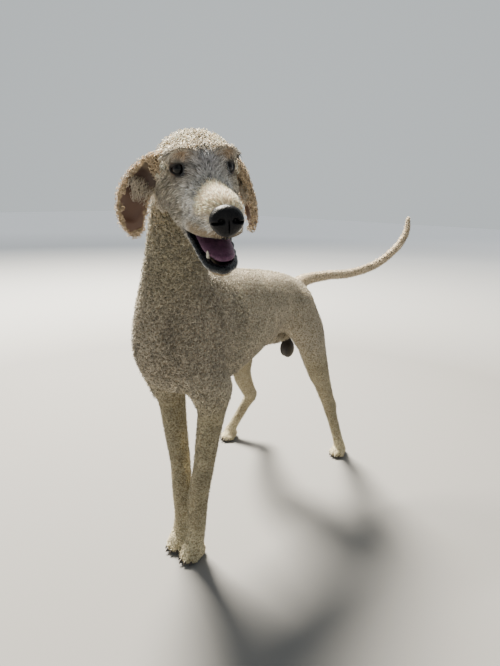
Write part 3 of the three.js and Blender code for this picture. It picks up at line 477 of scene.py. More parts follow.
def eyeFrame(sign):  # centre, and axes across, inwards and up, of one eye
    gaze = math.radians(eye["turn"]) * sign
    across = np.array([math.cos(gaze), math.sin(gaze), 0]) @ headAxes
    outward = np.array([math.sin(gaze), -math.cos(gaze), 0]) @ headAxes
    centre = headPoint([sign * eye["centre"][0], *eye["centre"][1:]])
    return centre, np.array([across, -outward, headUp])


def skinField(points):
    value = np.minimum(bodyFlesh(points), headFlesh(points))
    away = np.linalg.norm(points - headPoint(head["mouthMiddle"]), axis=1)
    near = np.nonzero((away < head["mouthReach"][0]) & (value < head["mouthReach"][1]))[0]
    if len(near):
        part = points[near]
        flesh = smoothMax(value[near], -gape(headLocal(part)), head["mouthBlend"])
        flesh = smoothMax(flesh, -palate.distance(part), head["mouthBlend"])
        value[near] = smoothMin(flesh, jawShape.distance(part), head["jawBlend"])
    for sign in sides.values():
        centre, axes = eyeFrame(sign)
        near = np.nonzero(np.linalg.norm(points - centre, axis=1) < eye["reach"])[0]
        part = points[near]
        lid, ball = Ball(centre, eye["radius"] + eye["lid"]), Ball(centre, eye["radius"] + eye["gap"])
        opening = Ball(centre - axes[1] * eye["radius"], eye["opening"], axes)
        flesh = smoothMin(value[near], lid.distance(part), eye["lidBlend"])
        flesh = smoothMax(flesh, -opening.distance(part), eye["edgeBlend"])
        value[near] = smoothMax(flesh, -ball.distance(part), eye["gapBlend"])
    return smoothMax(value, paws["sole"] - points[:, 2], paws["soleBlend"])


# Steps along one axis, fine from one place to another and growing coarser away from there
def gradedAxis(low, high, fineFrom, fineTo, fine, coarse, fade=70):
    marks = [low]
    while marks[-1] < high:
        away = max(fineFrom - marks[-1], marks[-1] - fineTo, 0)
        marks.append(marks[-1] + fine + (coarse - fine) * min(1, away / fade))
    return np.array(marks)


# Values of a field on a grid, worked out on every eighth line first and then only near the surface
def gridValues(field, axes, margin=1.15):
    for stride in (8, 4, 2, 1):
        lines = [np.arange(0, len(axis), stride) for axis in axes]
        marks = [axis[line] for axis, line in zip(axes, lines)]
        if stride == 8:
            values = np.zeros([len(line) for line in lines])
            mask = np.ones(values.shape, bool)
        else:
            values = values.repeat(2, 0).repeat(2, 1).repeat(2, 2)
            values = values[: len(lines[0]), : len(lines[1]), : len(lines[2])]
            x, y, z = np.ix_(*(np.gradient(mark) * 2 for mark in marks))
            mask = abs(values) < np.sqrt(x**2 + y**2 + z**2) * margin
        found = np.nonzero(mask)
        values[found] = field(np.stack([mark[index] for mark, index in zip(marks, found)], -1))
    return values


# Surface of grid values: a point in each cell that it crosses, in the middle of the crossings of the
# cell's edges, and a four-sided face round each grid edge that it crosses
def surfaceNet(values, axes):
    inside = values < 0
    cells = np.array(values.shape) - 1
    corners = list(np.ndindex(2, 2, 2))
    count = np.zeros(cells, np.int8)
    for i, j, k in corners:
        count += inside[i : cells[0] + i, j : cells[1] + j, k : cells[2] + k]
    found = np.argwhere((count > 0) & (count < 8))
    number = np.full(count.shape, -1, np.int64)
    number[tuple(found.T)] = np.arange(len(found))
    total, crossings = np.zeros((len(found), 3)), np.zeros(len(found))
    for a in corners:
        for b in corners:
            if a >= b or sum(abs(np.subtract(a, b))) != 1:
                continue
            one, other = values[tuple((found + a).T)], values[tuple((found + b).T)]
            crossed = (one < 0) != (other < 0)
            share = np.where(crossed, one / np.where(crossed, one - other, 1), 0)
            total += crossed[:, None] * (found + a + share[:, None] * np.subtract(b, a))
            crossings += crossed
    place = total / crossings[:, None]
    points = np.stack([np.interp(place[:, i], np.arange(len(axes[i])), axes[i]) for i in range(3)], -1)
    faces = []
    for axis in range(3):
        one, two = np.eye(3, dtype=int)[(axis + 1) % 3], np.eye(3, dtype=int)[(axis + 2) % 3]
        a = np.take(inside, np.arange(cells[axis]), axis)
        b = np.take(inside, np.arange(1, cells[axis] + 1), axis)
        edge = np.argwhere(a != b)
        edge = edge[np.all(edge - one - two >= 0, 1) & np.all(edge < cells, 1)]
        quads = [number[tuple((edge - back).T)] for back in (one + two, two, 0 * one, one)]
        quads = np.stack(quads, 1)
        turned = ~a[tuple(edge.T)]
        quads[turned] = quads[turned, ::-1]
        faces.append(quads)
    return points, np.vstack(faces)


def summed(index, rows, count):  # the sum of the rows that belong to each of count points
    return np.stack([np.bincount(index, rows[:, i], count) for i in range(3)], -1)


# Evens out a net: each point moves half way to the middle of its neighbours and back onto the surface
def relaxed(points, faces, field, rounds, probe, furthest=2):
    for _ in range(rounds):
        total, count = np.zeros_like(points), np.zeros(len(points))
        for a, b in ((0, 1), (1, 2), (2, 3), (3, 0)):
            for here, there in ((faces[:, a], faces[:, b]), (faces[:, b], faces[:, a])):
                total += summed(here, points[there], len(points))
                count += np.bincount(here, minlength=len(points))
        points = points + 0.5 * (total / count[:, None] - points)
        value = field(points)
        slope = np.stack([(field(points + probe * axis) - value) / probe for axis in np.eye(3)], -1)
        step = value / np.maximum(dot(slope, slope), 0.2)
        points = points - np.clip(step, -furthest, furthest)[:, None] * slope
    return points


def netOf(field, axes, rounds, probe=0.4):  # points and faces of a field's surface
    points, faces = surfaceNet(gridValues(field, axes), axes)
    return relaxed(points, faces, field, rounds, probe), faces


def pointNormals(points, faces):  # each sums the cross products of the diagonals of the faces round it
    cross = np.cross(points[faces[:, 2]] - points[faces[:, 0]], points[faces[:, 3]] - points[faces[:, 1]])
    total = np.zeros_like(points)
    for k in range(4):
        total += summed(faces[:, k], cross, len(points))
    return unit(total)


grid = {  # from, to, fine from and to, finest and coarsest step
    "x": (-284, 335, 104, 325, 2.0, 6.4), "y": (-285, 775, -285, -60, 2.0, 6.4),
    "z": (-6, 897, 725, 897, 2.0, 6.4),
}
axes = [gradedAxis(*grid[name]) for name in "xyz"]
skinPoints, skinFaces = netOf(skinField, axes, 2)
skinNormals = pointNormals(skinPoints, skinFaces)
print("grid", [len(axis) for axis in axes], "skin", len(skinPoints), "points", len(skinFaces), "faces")

# Which part of the dog each point belongs to
regionShapes = {"trunk": [trunk, sheath, *(limbs[side]["shoulder"] for side in sides)], "neck": [neck]}
regionShapes |= {side + "Foreleg": [limbs[side]["foreleg"]] for side in sides}
regionShapes |= {side + "Hindleg": [limbs[side]["thigh"], limbs[side]["rearPastern"]] for side in sides}
regionShapes["tail"] = [tail]
headSweeps = [shape for shape, blend in headShapes if isinstance(shape, Sweep) and shape is not neck]
regionShapes["head"] = headSweeps + [jawShape.body]
regionShapes |= {side + "Ear": [earShapes[side]["core"]] for side in sides}
regionNames = list(regionShapes)
border = {"reach": 40, "ragged": 12, "size": 7, "seed": 4, "fade": (-16, 20)}  # between head and neck


def within(region, *names):
    return np.isin(region, [regionNames.index(name) for name in names])


# The nearest part, with a ragged border between head and neck, and how much a point is on the head
def regionOf(points):
    values = np.full((len(regionNames), len(points)), farAway)
    for row, shapes in zip(values, regionShapes.values()):
        for shape in shapes:
            near = np.nonzero(boxGap(shape, points) < border["reach"] ** 2)[0]
            if len(near):
                row[near] = np.minimum(row[near], shape.distance(points[near]))
    onHead, onNeck = values[regionNames.index("head")], values[regionNames.index("neck")]
    onHead += border["ragged"] * (softNoise(points, border["size"], border["seed"]) - 0.5)
    return values.argmin(0), smoothStep(*border["fade"], onNeck - onHead) * (onHead < farAway / 10)


# Colours, as shares of red, green and blue seen on a screen
tones = {
    "body": (0.73, 0.69, 0.61), "chest": (0.66, 0.62, 0.55), "throat": (0.57, 0.54, 0.46),
    "leg": (0.68, 0.64, 0.53), "paw": (0.84, 0.80, 0.67), "tail": (0.80, 0.74, 0.64),
    # between: painted shade between the eyes, where the brows and topknot shade the face
    "face": (0.90, 0.88, 0.84), "cheek": (0.60, 0.565, 0.49), "between": (0.78, 0.77, 0.78),
    # bridge: cream hair, made paler still by painted sunlight on the top of the muzzle
    # the dark stain colour serves both real tear stains and painted shade round the eyes and under the nose
    "bridge": (1.0, 0.91, 0.75), "brow": (0.68, 0.58, 0.47), "stainAndShade": (0.24, 0.18, 0.14),
    "lid": (0.40, 0.31, 0.24), "lipHair": (0.60, 0.52, 0.39), "topknot": (0.92, 0.87, 0.78),
    "earHair": (0.82, 0.73, 0.60), "earLock": (0.84, 0.80, 0.73), "earLeather": (0.37, 0.27, 0.22),
    "lipLeather": (0.05, 0.05, 0.055), "mouth": (0.10, 0.055, 0.065), "rim": (0.06, 0.045, 0.04),
    "pad": (0.13, 0.12, 0.12),
}
tones = {name: np.array(rgb) ** 2.2 for name, rgb in tones.items()}  # as light

# Soft round patches on the face: tone, middle and size in millimetres to the left, back and up from
# between the eyes, strength, and the most that the tone may take
patches = {
    # between: painted shade between the eyes
    "between": ("between", (0, -8, 6), (21, 34, 22), 1.3, 1),
    "brow": ("brow", (30, -11, 21), (13, 13, 8), 1, 1),
    # round each eye: a dark patch, partly stain and partly painted shade in the socket under the brow
    "stainAndShade": ("stainAndShade", (31, -3, -1), (20, 17, 12), 1.3, 0.95),
    "tearStain": ("stainAndShade", (17, -16, -8), (8, 11, 8), 0.7, 1),
    # painted shade under the nose, between the upper lips
    "shadeUnderNose": ("stainAndShade", (0, -108, -65), (16, 16, 7), 0.85, 1),
}
# Where a marking's share, or that of a painted light or shade, grows from 0 to 1: mostly from one place
# to another, in millimetres
fades = {
    "front": (40, -60), "chestBack": (130, 10), "chestLow": (400, 470), "leg": (420, 330), "paw": (110, 20),
    "throatLow": (540, 680), "throatTop": (930, 860), "grooveLow": (470, 520), "grooveTop": (610, 560),
    "cheek": (-35, 25), "wedge": (5, -5), "bridge": (-6, 6), "lipHair": (9, -3), "lipBack": (-20, -60),
    "streaks": (0.2, 0.8), "topknot": (9, 3), "lineBack": (0, 45),
    "gape": (3, 1), "mouthBack": (20, 0), "palate": (2.5, 0.5), "tongue": (4.5, 2.5), "eyeFront": (1, 4),
    "rim": (1.2, 0.95), "earInner": (0.1, 0.5), "earEdge": (0.88, 0.70), "earFrom": (0.20, 0.30),
    "earTo": (0.97, 0.91), "earHollow": (0.60, 0.35), "sole": (6, 4), "soleDown": (-0.3, -0.7),
}
# Noises that vary the tones: least share, how much more there can be, size in millimetres and seed
grains = {"patches": (0.84, 0.32, 26, 1), "curls": (0.76, 0.48, 5, 6), "top": (0.40, -0.60, 4.5, 8)}
markingsAndPaintedLight = {
    # the chest's two grooves are darkened with painted shade
    "grooves": ((49, 9), (-30, 10)), "grooveDark": 0.28,  # place and half width of each groove of the chest
    "ragged": ((10, 4.5, 2), (9, 1.7, 7)),  # swing, size and seed of the noises that fray the borders
    # the pale wedge is partly cream hair and partly painted sunlight
    "apex": -45, "spread": 0.85, "bridgeLow": -40,  # the pale wedge along the bridge of the nose
    "lipHair": -59, "lipShare": 0.85, "bridgeShare": (0.85, 0.15),
    "streak": (2.3, 13, 2.3), "streakSeed": 3, "streakTurn": 35, "streakShare": (0.34, 0.92),
    "hairline": 25, "lineFall": 60, "lineFade": (4, 3), "lineShare": 0.8, "frayed": 0.3,
    # furrow: painted shade along the parting down the middle of the topknot
    "furrow": 3.5, "furrowDark": 0.35,
    # hollowDark: painted shade deep in the ear's hollow
    "earFrayed": (0.3, 6, 5), "hollowDark": 0.55,
}


def mixed(tone, name, weight):  # the tone moves towards a named one by a share for each point
    return tone + (tones[name] - tone) * weight[:, None]


def spot(local, place, size):  # a soft round patch on the head: exp(-(distance / size)^2)
    return np.exp(-((local - np.array(place)) ** 2 / np.array(size) ** 2).sum(1))


def patched(tone, name, local):
    toneName, place, size, strength, most = patches[name]
    return mixed(tone, toneName, np.minimum(most, strength * spot(local, place, size)))


def fade(name, values):
    return smoothStep(*fades[name], values)


def varied(name, points):
    least, more, size, seed = grains[name]
    return least + more * softNoise(points, size, seed)


# How much of the topknot's curls grows at each point: inside its own shape and above a line that falls
# from the brows to the cheeks
def topShare(points, ragged=0.0):
    back, up = headLocal(points).T[1:]
    line = markingsAndPaintedLight["hairline"] + markingsAndPaintedLight["frayed"] * ragged
    under, over = markingsAndPaintedLight["lineFade"]
    inside = fade("topknot", topknot.distance(points) + markingsAndPaintedLight["frayed"] * ragged)
    fallen = line - markingsAndPaintedLight["lineFall"] * fade("lineBack", back)
    above = markingsAndPaintedLight["lineShare"] * smoothStep(line - under, line + over, up)
    return np.maximum(inside * smoothStep(fallen - under, fallen + over, up), above)


# Markings of the hair at each point, with painted light and shade among them, the same on skin and coat.
# onHead is 0 on the neck, 1 on the head
def coatTone(points, region, onHead):
    local = headLocal(points)
    x, y, z = points.T
    left, back, up = local.T
    tone = np.repeat(tones["body"][None], len(points), 0)
    tone = mixed(tone, "chest", fade("chestBack", y) * fade("chestLow", z))
    tone = mixed(tone, "leg", fade("leg", z))
    tone = mixed(tone, "paw", fade("paw", z))
    tone = mixed(tone, "tail", within(region, "tail") * 1.0)
    tone = mixed(tone, "throat", fade("front", y) * fade("throatLow", z) * fade("throatTop", z))
    # painted shade in the two grooves down the front of the chest
    groove = sum(np.exp(-(((x - middle) / wide) ** 2)) for middle, wide in markingsAndPaintedLight["grooves"])
    groove = groove * fade("grooveLow", z) * fade("grooveTop", z) * fade("front", y)
    tone = tone * (varied("patches", points) * varied("curls", points))[:, None]
    tone = tone * (1 - markingsAndPaintedLight["grooveDark"] * groove)[:, None]
    ragged = sum(swing * (softNoise(points, size, seed) - 0.5) for swing, size, seed in markingsAndPaintedLight["ragged"])
    face = np.repeat(tones["face"][None], len(points), 0)
    # painted shade between the eyes
    face = patched(mixed(face, "cheek", fade("cheek", back)), "between", local)
    turned = math.radians(markingsAndPaintedLight["streakTurn"])
    cos, sin = math.cos(turned), math.sin(turned)
    along = np.stack([left, back * cos - up * sin, back * sin + up * cos], 1)
    streaks = fade("streaks", softNoise(along, markingsAndPaintedLight["streak"], markingsAndPaintedLight["streakSeed"]))
    least, more = markingsAndPaintedLight["streakShare"]
    face = face * (least + more * streaks)[:, None]
    # Painted sunlight on cream hair: the pale wedge down the bridge of the nose, below the brows
    wedge = fade("wedge", back + markingsAndPaintedLight["spread"] * abs(left) - markingsAndPaintedLight["apex"] + ragged)
    bridge = wedge * fade("bridge", up - markingsAndPaintedLight["bridgeLow"] + ragged)
    least, more = markingsAndPaintedLight["bridgeShare"]
    face = mixed(face, "bridge", bridge * (least + more * streaks))
    lipHair = markingsAndPaintedLight["lipShare"] * fade("lipHair", up - markingsAndPaintedLight["lipHair"] + ragged)
    face = mixed(face, "lipHair", lipHair * fade("lipBack", back))
    # tan brows, real tear stains, and round each eye a dark patch that is partly stain, partly painted shade
    for sign in sides.values():
        for name in ("brow", "stainAndShade", "tearStain"):
            face = patched(face, name, local * (sign, 1, 1))
    # painted shade under the nose, between the upper lips
    face = patched(face, "shadeUnderNose", local)
    tone = tone + (face - tone) * onHead[:, None]
    top = within(region, "head", "neck") * topShare(points, ragged)
    tone = mixed(tone, "topknot", top)
    tone = tone * (1 - top * varied("top", points))[:, None]
    # painted shade in the parting down the middle of the topknot
    tone = tone * (1 - markingsAndPaintedLight["furrowDark"] * top * np.exp(-((left / markingsAndPaintedLight["furrow"]) ** 2)))[:, None]
    return mixed(tone, "earHair", within(region, "leftEar", "rightEar") * 1.0)


region, headShare = regionOf(skinPoints)
skinTones = coatTone(skinPoints, region, headShare)
local = headLocal(skinPoints)
isHead = within(region, "head")

# Bare places: lips, mouth, the rims round the eyes, the inner faces of the ears and the soles
inMouth = fade("gape", np.maximum(gape(local), 0)) * isHead * fade("mouthBack", local[:, 1])
paint = [
    ("lipLeather", inMouth * (jawShape.distance(skinPoints) > 2.5)),
    ("mouth", fade("palate", palate.distance(skinPoints)) * isHead),
    ("lipLeather", fade("tongue", headSweep(head["tongue"]).distance(skinPoints)) * isHead),
]
for sign in sides.values():
    centre, eyeAxes = eyeFrame(sign)
    arm = skinPoints - centre
    wide, high = eye["rim"]
    away = np.hypot((arm @ eyeAxes[0] + eye["rimShift"] * sign) / wide, arm @ eyeAxes[2] / high)
    near = np.linalg.norm(arm, axis=1) < eye["rimReach"]
    paint.append(("rim", fade("eyeFront", arm @ -eyeAxes[1]) * fade("rim", away) * near))
# hollow: painted shade deep in each ear's hollow, towards its root
hollow = np.zeros(len(skinPoints))
for side, ear in earShapes.items():
    ear["share"] = ear["core"].locate(skinPoints)[1]
    centre, across, up, tangent, width, height = ear["core"].at(ear["share"])
    edge = abs(dot(skinPoints - centre, up) / height)  # 1 at both edges of the ear
    ear["inner"] = within(region, side + "Ear") * fade("earInner", skinNormals @ ear["inward"])
    swing, size, seed = markingsAndPaintedLight["earFrayed"]
    leather = fade("earEdge", edge + swing * (softNoise(skinPoints, size, seed) - 0.5))
    weight = ear["inner"] * leather * fade("earFrom", ear["share"]) * fade("earTo", ear["share"])
    paint.append(("earLeather", weight))
    hollow += ear["inner"] * fade("earHollow", ear["share"]) * leather
paint.append(("pad", fade("sole", skinPoints[:, 2]) * fade("soleDown", skinNormals[:, 2])))
bare = np.zeros(len(skinPoints))
for name, weight in paint:
    skinTones = mixed(skinTones, name, weight)
    bare = np.maximum(bare, weight)
# painted shade in the ear hollows
skinTones = skinTones * (1 - markingsAndPaintedLight["hollowDark"] * hollow)[:, None]
onTop = topShare(skinPoints)
sleek = (1 - onTop) * headShare * (1 - bare)  # the shaved face


# A small kit for materials, then one function for each finish. Sizes are in millimetres.
class Finish:
    def __init__(self, name, roughness, **constants):
        self.material = bpy.data.materials.new(name)
        self.material.use_nodes = True
        self.nodes, self.links = self.material.node_tree.nodes, self.material.node_tree.links
        self.shader = self.nodes["Principled BSDF"]
        for key, value in {"Roughness": roughness, **constants}.items():
            self.join(value, self.shader.inputs[key])
        self.place = self.nodes.new("ShaderNodeTexCoord").outputs["Object"]

    def join(self, value, socket):  # value is another node's output or a constant
        if isinstance(value, bpy.types.NodeSocket):
            self.links.new(value, socket)
        else:
            socket.default_value = (*value, 1) if socket.type == "RGBA" else value

    def node(self, kind, inputs, **settings):
        made = self.nodes.new("ShaderNode" + kind)
        for key, value in settings.items():
            setattr(made, key, value)
        for key, value in inputs.items():
            self.join(value, made.inputs[key])
        return made

    def attribute(self, name, output="Fac"):
        return self.node("Attribute", {}, attribute_name=name).outputs[output]

    def noise(self, size, detail=3, place=None):
        inputs = {"Vector": place or self.place, "Scale": 1 / (size * mm), "Detail": detail}
        inputs["Roughness"] = 0.55
        return self.node("TexNoise", inputs).outputs["Fac"]

    def cells(self, size, place=None):  # rounded cells, zero in their middles
        inputs = {"Vector": place or self.place, "Scale": 1 / (size * mm)}
        return self.node("TexVoronoi", inputs, feature="F1").outputs["Distance"]

    def warped(self, size, amount):  # the object's own coordinates, pushed about by noise
        inputs = {"Vector": self.place, "Scale": 1 / (size * mm), "Detail": 1}
        push = self.node("TexNoise", inputs).outputs["Color"]
        inputs = {0: push, 1: (amount * mm,) * 3, 2: self.place}
        return self.node("VectorMath", inputs, operation="MULTIPLY_ADD").outputs["Vector"]

    def span(self, value, low, high, outLow=0.0, outHigh=1.0):
        inputs = {"Value": value, "From Min": low, "From Max": high, "To Min": outLow, "To Max": outHigh}
        return self.node("MapRange", inputs).outputs["Result"]

    def times(self, a, b):
        return self.node("Math", {0: a, 1: b}, operation="MULTIPLY").outputs[0]

    def tint(self, colour, other, share, kind="MIX"):
        inputs = {0: share, 6: colour, 7: other}
        return self.node("Mix", inputs, data_type="RGBA", blend_type=kind).outputs[2]

    def bump(self, height, distance, under=None):
        inputs = {"Height": height, "Distance": distance * mm, "Strength": 1.0}
        return self.node("Bump", inputs | ({} if under is None else {"Normal": under})).outputs["Normal"]

    def wear(self, colour, normal=None, roughness=None):
        for key, value in (("Base Color", colour), ("Normal", normal), ("Roughness", roughness)):
            if value is not None:
                self.join(value, self.shader.inputs[key])
        return self.material


def wet(coat, coatRoughness, specular):
    return {"Coat Weight": coat, "Coat Roughness": coatRoughness, "Specular IOR Level": specular}


# One noise that gives the share of the second colour, the relief, and the roughness where it varies
def grainFinish(name, roughness, grain, dark, light, share, depth, rough=None, **constants):
    finish = Finish(name, roughness, **constants)
    noise = finish.noise(*grain)
    colour = finish.tint(dark, light, finish.span(noise, *share))
    return finish.wear(colour, finish.bump(noise, depth), finish.span(noise, *rough) if rough else None)


# Coordinates along the head's own axes, stretched by a size along each
def headPlace(finish, sizes):
    inputs = {"Vector": finish.place, "Location": eyeMiddle * mm + shift, "Scale": np.array(sizes) * mm,
              "Rotation": Matrix(headAxes.T.tolist()).to_euler()}
    return finish.node("Mapping", inputs, vector_type="TEXTURE").outputs["Vector"]


def skinFinish():
    finish = Finish("clippedSkin", 0.9)
    tone = finish.attribute("tone", "Color")
    bareness, sleekness, curly = (finish.attribute(name) for name in ("bare", "sleek", "curly"))
    curls = finish.span(finish.cells(4.0, finish.warped(6, 2.6)), 0, 0.8, 1, 0)
    # the gaps between the curls are darkened: partly darker roots and skin, partly painted shade
    gaps = finish.times(finish.span(curls, 0.5, 0.1), curly)
    colour = finish.tint(tone, (0.42, 0.38, 0.32), finish.times(gaps, 0.9), "MULTIPLY")
    streaks = finish.noise(1, 4, headPlace(finish, (1.1, 9, 2.6)))
    dark = finish.times(finish.span(streaks, 0.42, 0.62, 1, 0), finish.times(sleekness, 0.6))
    colour = finish.tint(colour, (0.42, 0.38, 0.35), dark, "MULTIPLY")
    blotches = finish.span(finish.noise(22), 0.45, 0.75, 0, 0.16)
    colour = finish.tint(colour, (0.55, 0.48, 0.40), blotches, "MULTIPLY")
    normal = finish.bump(finish.times(curls, curly), 1.4)
    normal = finish.bump(finish.times(streaks, sleekness), 0.9, normal)
    normal = finish.bump(finish.times(finish.noise(1.3), bareness), 0.35, normal)
    return finish.wear(colour, normal, finish.span(bareness, 0, 1, 0.9, 0.5))


fleshNodes = ["head", "lower_jaw", "left_ear", "right_ear", "neck", "torso", "rump", "tail_root", "tail_1",
              "tail_2", "tail_tip"]
for side in sides:
    fleshNodes += [f"{side}_{part}" for part in
                   ("forearm", "front_pastern", "forepaw", "thigh", "rear_pastern", "hindpaw")]
curly = (1 - bare) * (1 - sleek)
addPiece("skin", skinPoints, skinFaces, skinFinish(), "body_coat", fleshNodes, skinTones,
         {"bare": bare, "sleek": sleek, "curly": curly})
print("skin made")


# Arms from an eye's middle along its own axes, across, inwards and up: a ball's radius times sin a cos b,
# -cos a and sin a sin b, where a is the angle from the line of sight and b the angle round it
def eyeArms(radius, angle, around):
    arms = [radius * np.sin(angle) * np.cos(around), -radius * np.cos(angle) * np.ones_like(around),
            radius * np.sin(angle) * np.sin(around)]
    return np.stack(arms, -1).reshape(-1, 3)


# Eyes: a ball with a bulging cornea. Its radius is the eye's plus a bulge times exp(-(angle / width)^2).
# The tones are those of pupil, iris, dark rim and white.
eyeLook = {
    "rows": 40, "columns": 48, "bulge": 0.5, "bulgeWidth": 0.6,
    "pupil": 0.42, "pupilFade": 0.12, "iris": 1.25, "irisFade": 0.1,  # angles from the line of sight
    "tones": ((0.003, 0.003, 0.004), (0.013, 0.007, 0.005), (0.006, 0.004, 0.003), (0.06, 0.045, 0.04)),
}


def eyeFinish():
    finish = Finish("wetEye", 0.08, **wet(0.2, 0.03, 0.12))
    fibres = finish.span(finish.noise(0.7, 4), 0.35, 0.65, 0.55, 1.0)
    return finish.wear(finish.tint((0, 0, 0), finish.attribute("tone", "Color"), fibres))


def eyeBall():
    angle = np.linspace(0, math.pi, eyeLook["rows"] + 2)[1:-1, None]
    around = np.linspace(0, 2 * math.pi, eyeLook["columns"], endpoint=False)[None]
    radius = eye["radius"] + eyeLook["bulge"] * np.exp(-((angle / eyeLook["bulgeWidth"]) ** 2))
    ends = np.array([[0, -eye["radius"] - eyeLook["bulge"], 0], [0, eye["radius"], 0]])
    depth = np.append(np.repeat(angle[:, 0], eyeLook["columns"]), [0, math.pi])
    pupil, iris = eyeLook["pupil"], eyeLook["iris"]
    marks = [0, pupil, pupil + eyeLook["pupilFade"], iris - eyeLook["irisFade"], iris, math.pi]
    toning = np.array(eyeLook["tones"])[[0, 0, 1, 1, 2, 3]]
    eyeTones = np.stack([np.interp(depth, marks, channel) for channel in toning.T], -1)
    return np.vstack([eyeArms(radius, angle, around), ends]), eyeTones


# Eyelids: a sheet round an almond opening, x = wide cos t and y = high sin t |sin t|^0.3. From its edge
# it rolls off the ball onto the lid's face and then sinks under the skin. Steps are angles off the edge.
lids = {
    "wide": 10.8, "above": 6.4, "below": 5.4, "columns": 72, "peak": 0.3,
    "steps": [-0.06, 0, 0.03, 0.08, 0.16, 0.28, 0.42, 0.55, 0.30, 0.05],
    "radii": [11.2, 11.8, 12.6, 13.4, 14.0, 14.35, 14.2, 12.8, 11.0, 10.9],
    "fade": (0.03, 0.22), "edgeDark": 0.6, "cornerDark": 0.85,  # the edge and both corners stay dark
}


def lidFinish():
    finish = Finish("lidLeather", 0.4, **{"Specular IOR Level": 0.3})
    grain = finish.noise(1.2, 3)
    colour = finish.tint(finish.attribute("tone", "Color"), (0.5, 0.45, 0.4), grain, "MULTIPLY")
    return finish.wear(colour, finish.bump(grain, 0.25))


def lidSheet():
    steps, radii = (np.array(lids[name])[:, None] for name in ("steps", "radii"))
    t = np.linspace(0, 2 * math.pi, lids["columns"], endpoint=False)
    high = np.where(np.sin(t) > 0, lids["above"], lids["below"]) * np.sin(t) * abs(np.sin(t)) ** lids["peak"]
    wide = lids["wide"] * np.cos(t)
    opened = np.arcsin(np.hypot(high, wide) / eye["radius"]) + steps
    share = smoothStep(*lids["fade"], steps) * (1 - lids["cornerDark"] * abs(np.cos(t)) ** 3)
    edge = tones["rim"] * lids["edgeDark"]
    lidTones = edge + (tones["lid"] - edge) * share[..., None]
    return eyeArms(radii, opened, np.arctan2(high, wide)), lidTones.reshape(-1, 3)


eyeMaterial, lidMaterial = eyeFinish(), lidFinish()
ballArms, ballTones = eyeBall()
lidArms, lidTones = lidSheet()
for side, sign in sides.items():
    centre, eyeAxes = eyeFrame(sign)
    addPiece(side + "Eye", centre + ballArms @ eyeAxes, tubeFaces(eyeLook["rows"], eyeLook["columns"]),
             eyeMaterial, "eye", [side + "_eye"], ballTones)
lidFaces = gridFaces(len(lids["steps"]) + 1, lids["columns"]) % len(lidArms)
for side, sign in sides.items():
    centre, eyeAxes = eyeFrame(sign)
    addPiece(side + "Eyelids", centre + lidArms @ eyeAxes, lidFaces, lidMaterial, "bare_skin",
             tones=lidTones)
print("eyes and eyelids made")

# Nose leather: balls melted together, less the nostrils, their slits and the groove between them
nose = {
    "centre": (0, -117, -42), "radii": (20, 13.5, 15.5), "cell": 1.0, "reach": 34,
    "wing": ((11, -4, -3), (9.5, 9, 10)), "lip": ((0, -3, -9), (16, 11, 12.5)),
    "nostril": ((8.5, -13.5, -1), (4.2, 7, 3.4)), "slit": ((14.5, -9.5, -3.5), (6, 5, 1.6)),
    "groove": ((0, -16, -10), (0.9, 6, 13)), "philtrum": ((0, 9, -19), (12, 8, 9)),
    "blends": {"lip": 5, "wing": 4, "philtrum": 4, "cut": 1.6, "groove": 1.2},
}


def noseBall(place, radii, sign=1):
    left, back, up = np.array(nose["centre"]) + np.array(place) * (sign, 1, 1)
    return Ball(headPoint([left, back, up]), radii, headAxes)


def noseField(points):
    value, melt = noseBall((0, 0, 0), nose["radii"]).distance(points), nose["blends"]
    for part in ("lip", "wing", "philtrum"):
        for sign in sides.values() if part == "wing" else (1,):
            value = smoothMin(value, noseBall(*nose[part], sign).distance(points), melt[part])
    for part in ("nostril", "slit"):
        for sign in sides.values():
            value = smoothMax(value, -noseBall(*nose[part], sign).distance(points), melt["cut"])
    return smoothMax(value, -noseBall(*nose["groove"]).distance(points), melt["groove"])


def noseFinish():
    finish = Finish("noseLeather", 0.4, **wet(0.05, 0.2, 0.14))
    pebbles = finish.cells(1.5)
    # painted shade: the crevices between the pebbles are darker than their tops
    share = finish.span(pebbles, 0.6, 0.1, 0.1, 0.8)
    colour = finish.tint((0.003, 0.003, 0.004), (0.014, 0.013, 0.014), share)
    normal = finish.bump(finish.span(pebbles, 0.7, 0.0), 0.32)
    rough = finish.span(finish.noise(5), 0.35, 0.7, 0.32, 0.5)
    return finish.wear(colour, normal, rough)


noseAxes = [np.arange(at - nose["reach"], at + nose["reach"], nose["cell"])
            for at in headPoint(nose["centre"])]
nosePoints, noseFaces = netOf(noseField, noseAxes, 2, 0.2)
addPiece("nose", nosePoints, noseFaces, noseFinish(), "nose_leather", ["nose"])
print("nose made,", len(nosePoints), "points")


# A tube whose rings follow a sweep: each ring's arm is the half width times cos and the half height
# times sin of the angle, times a given factor, and the ends close in points
def sweptTube(sweep, rows, columns, factor=None):
    share = np.linspace(0, 1, rows)
    centre, across, up, tangent, width, height = sweep.at(share)
    angle = np.linspace(0, 2 * math.pi, columns, endpoint=False)
    scale = np.ones((rows, columns)) if factor is None else factor(share[:, None], angle[None])
    ring = centre[:, None] + across[:, None] * (scale * width[:, None] * np.cos(angle))[..., None]
    ring = ring + up[:, None] * (scale * height[:, None] * np.sin(angle))[..., None]
    return np.vstack([ring.reshape(-1, 3), ring[0].mean(0), ring[-1].mean(0)]), tubeFaces(rows, columns)


# Tongue: a broad flat tube with a groove along its middle, thin edges that curl up a little, and a tip
# that rounds off as the root of 1 - t^4
tongueLook = {"rows": 60, "columns": 48, "groove": 0.30, "grooveWidth": 0.30, "wider": 1.04, "flat": 0.10,
              "tipFrom": 0.72}


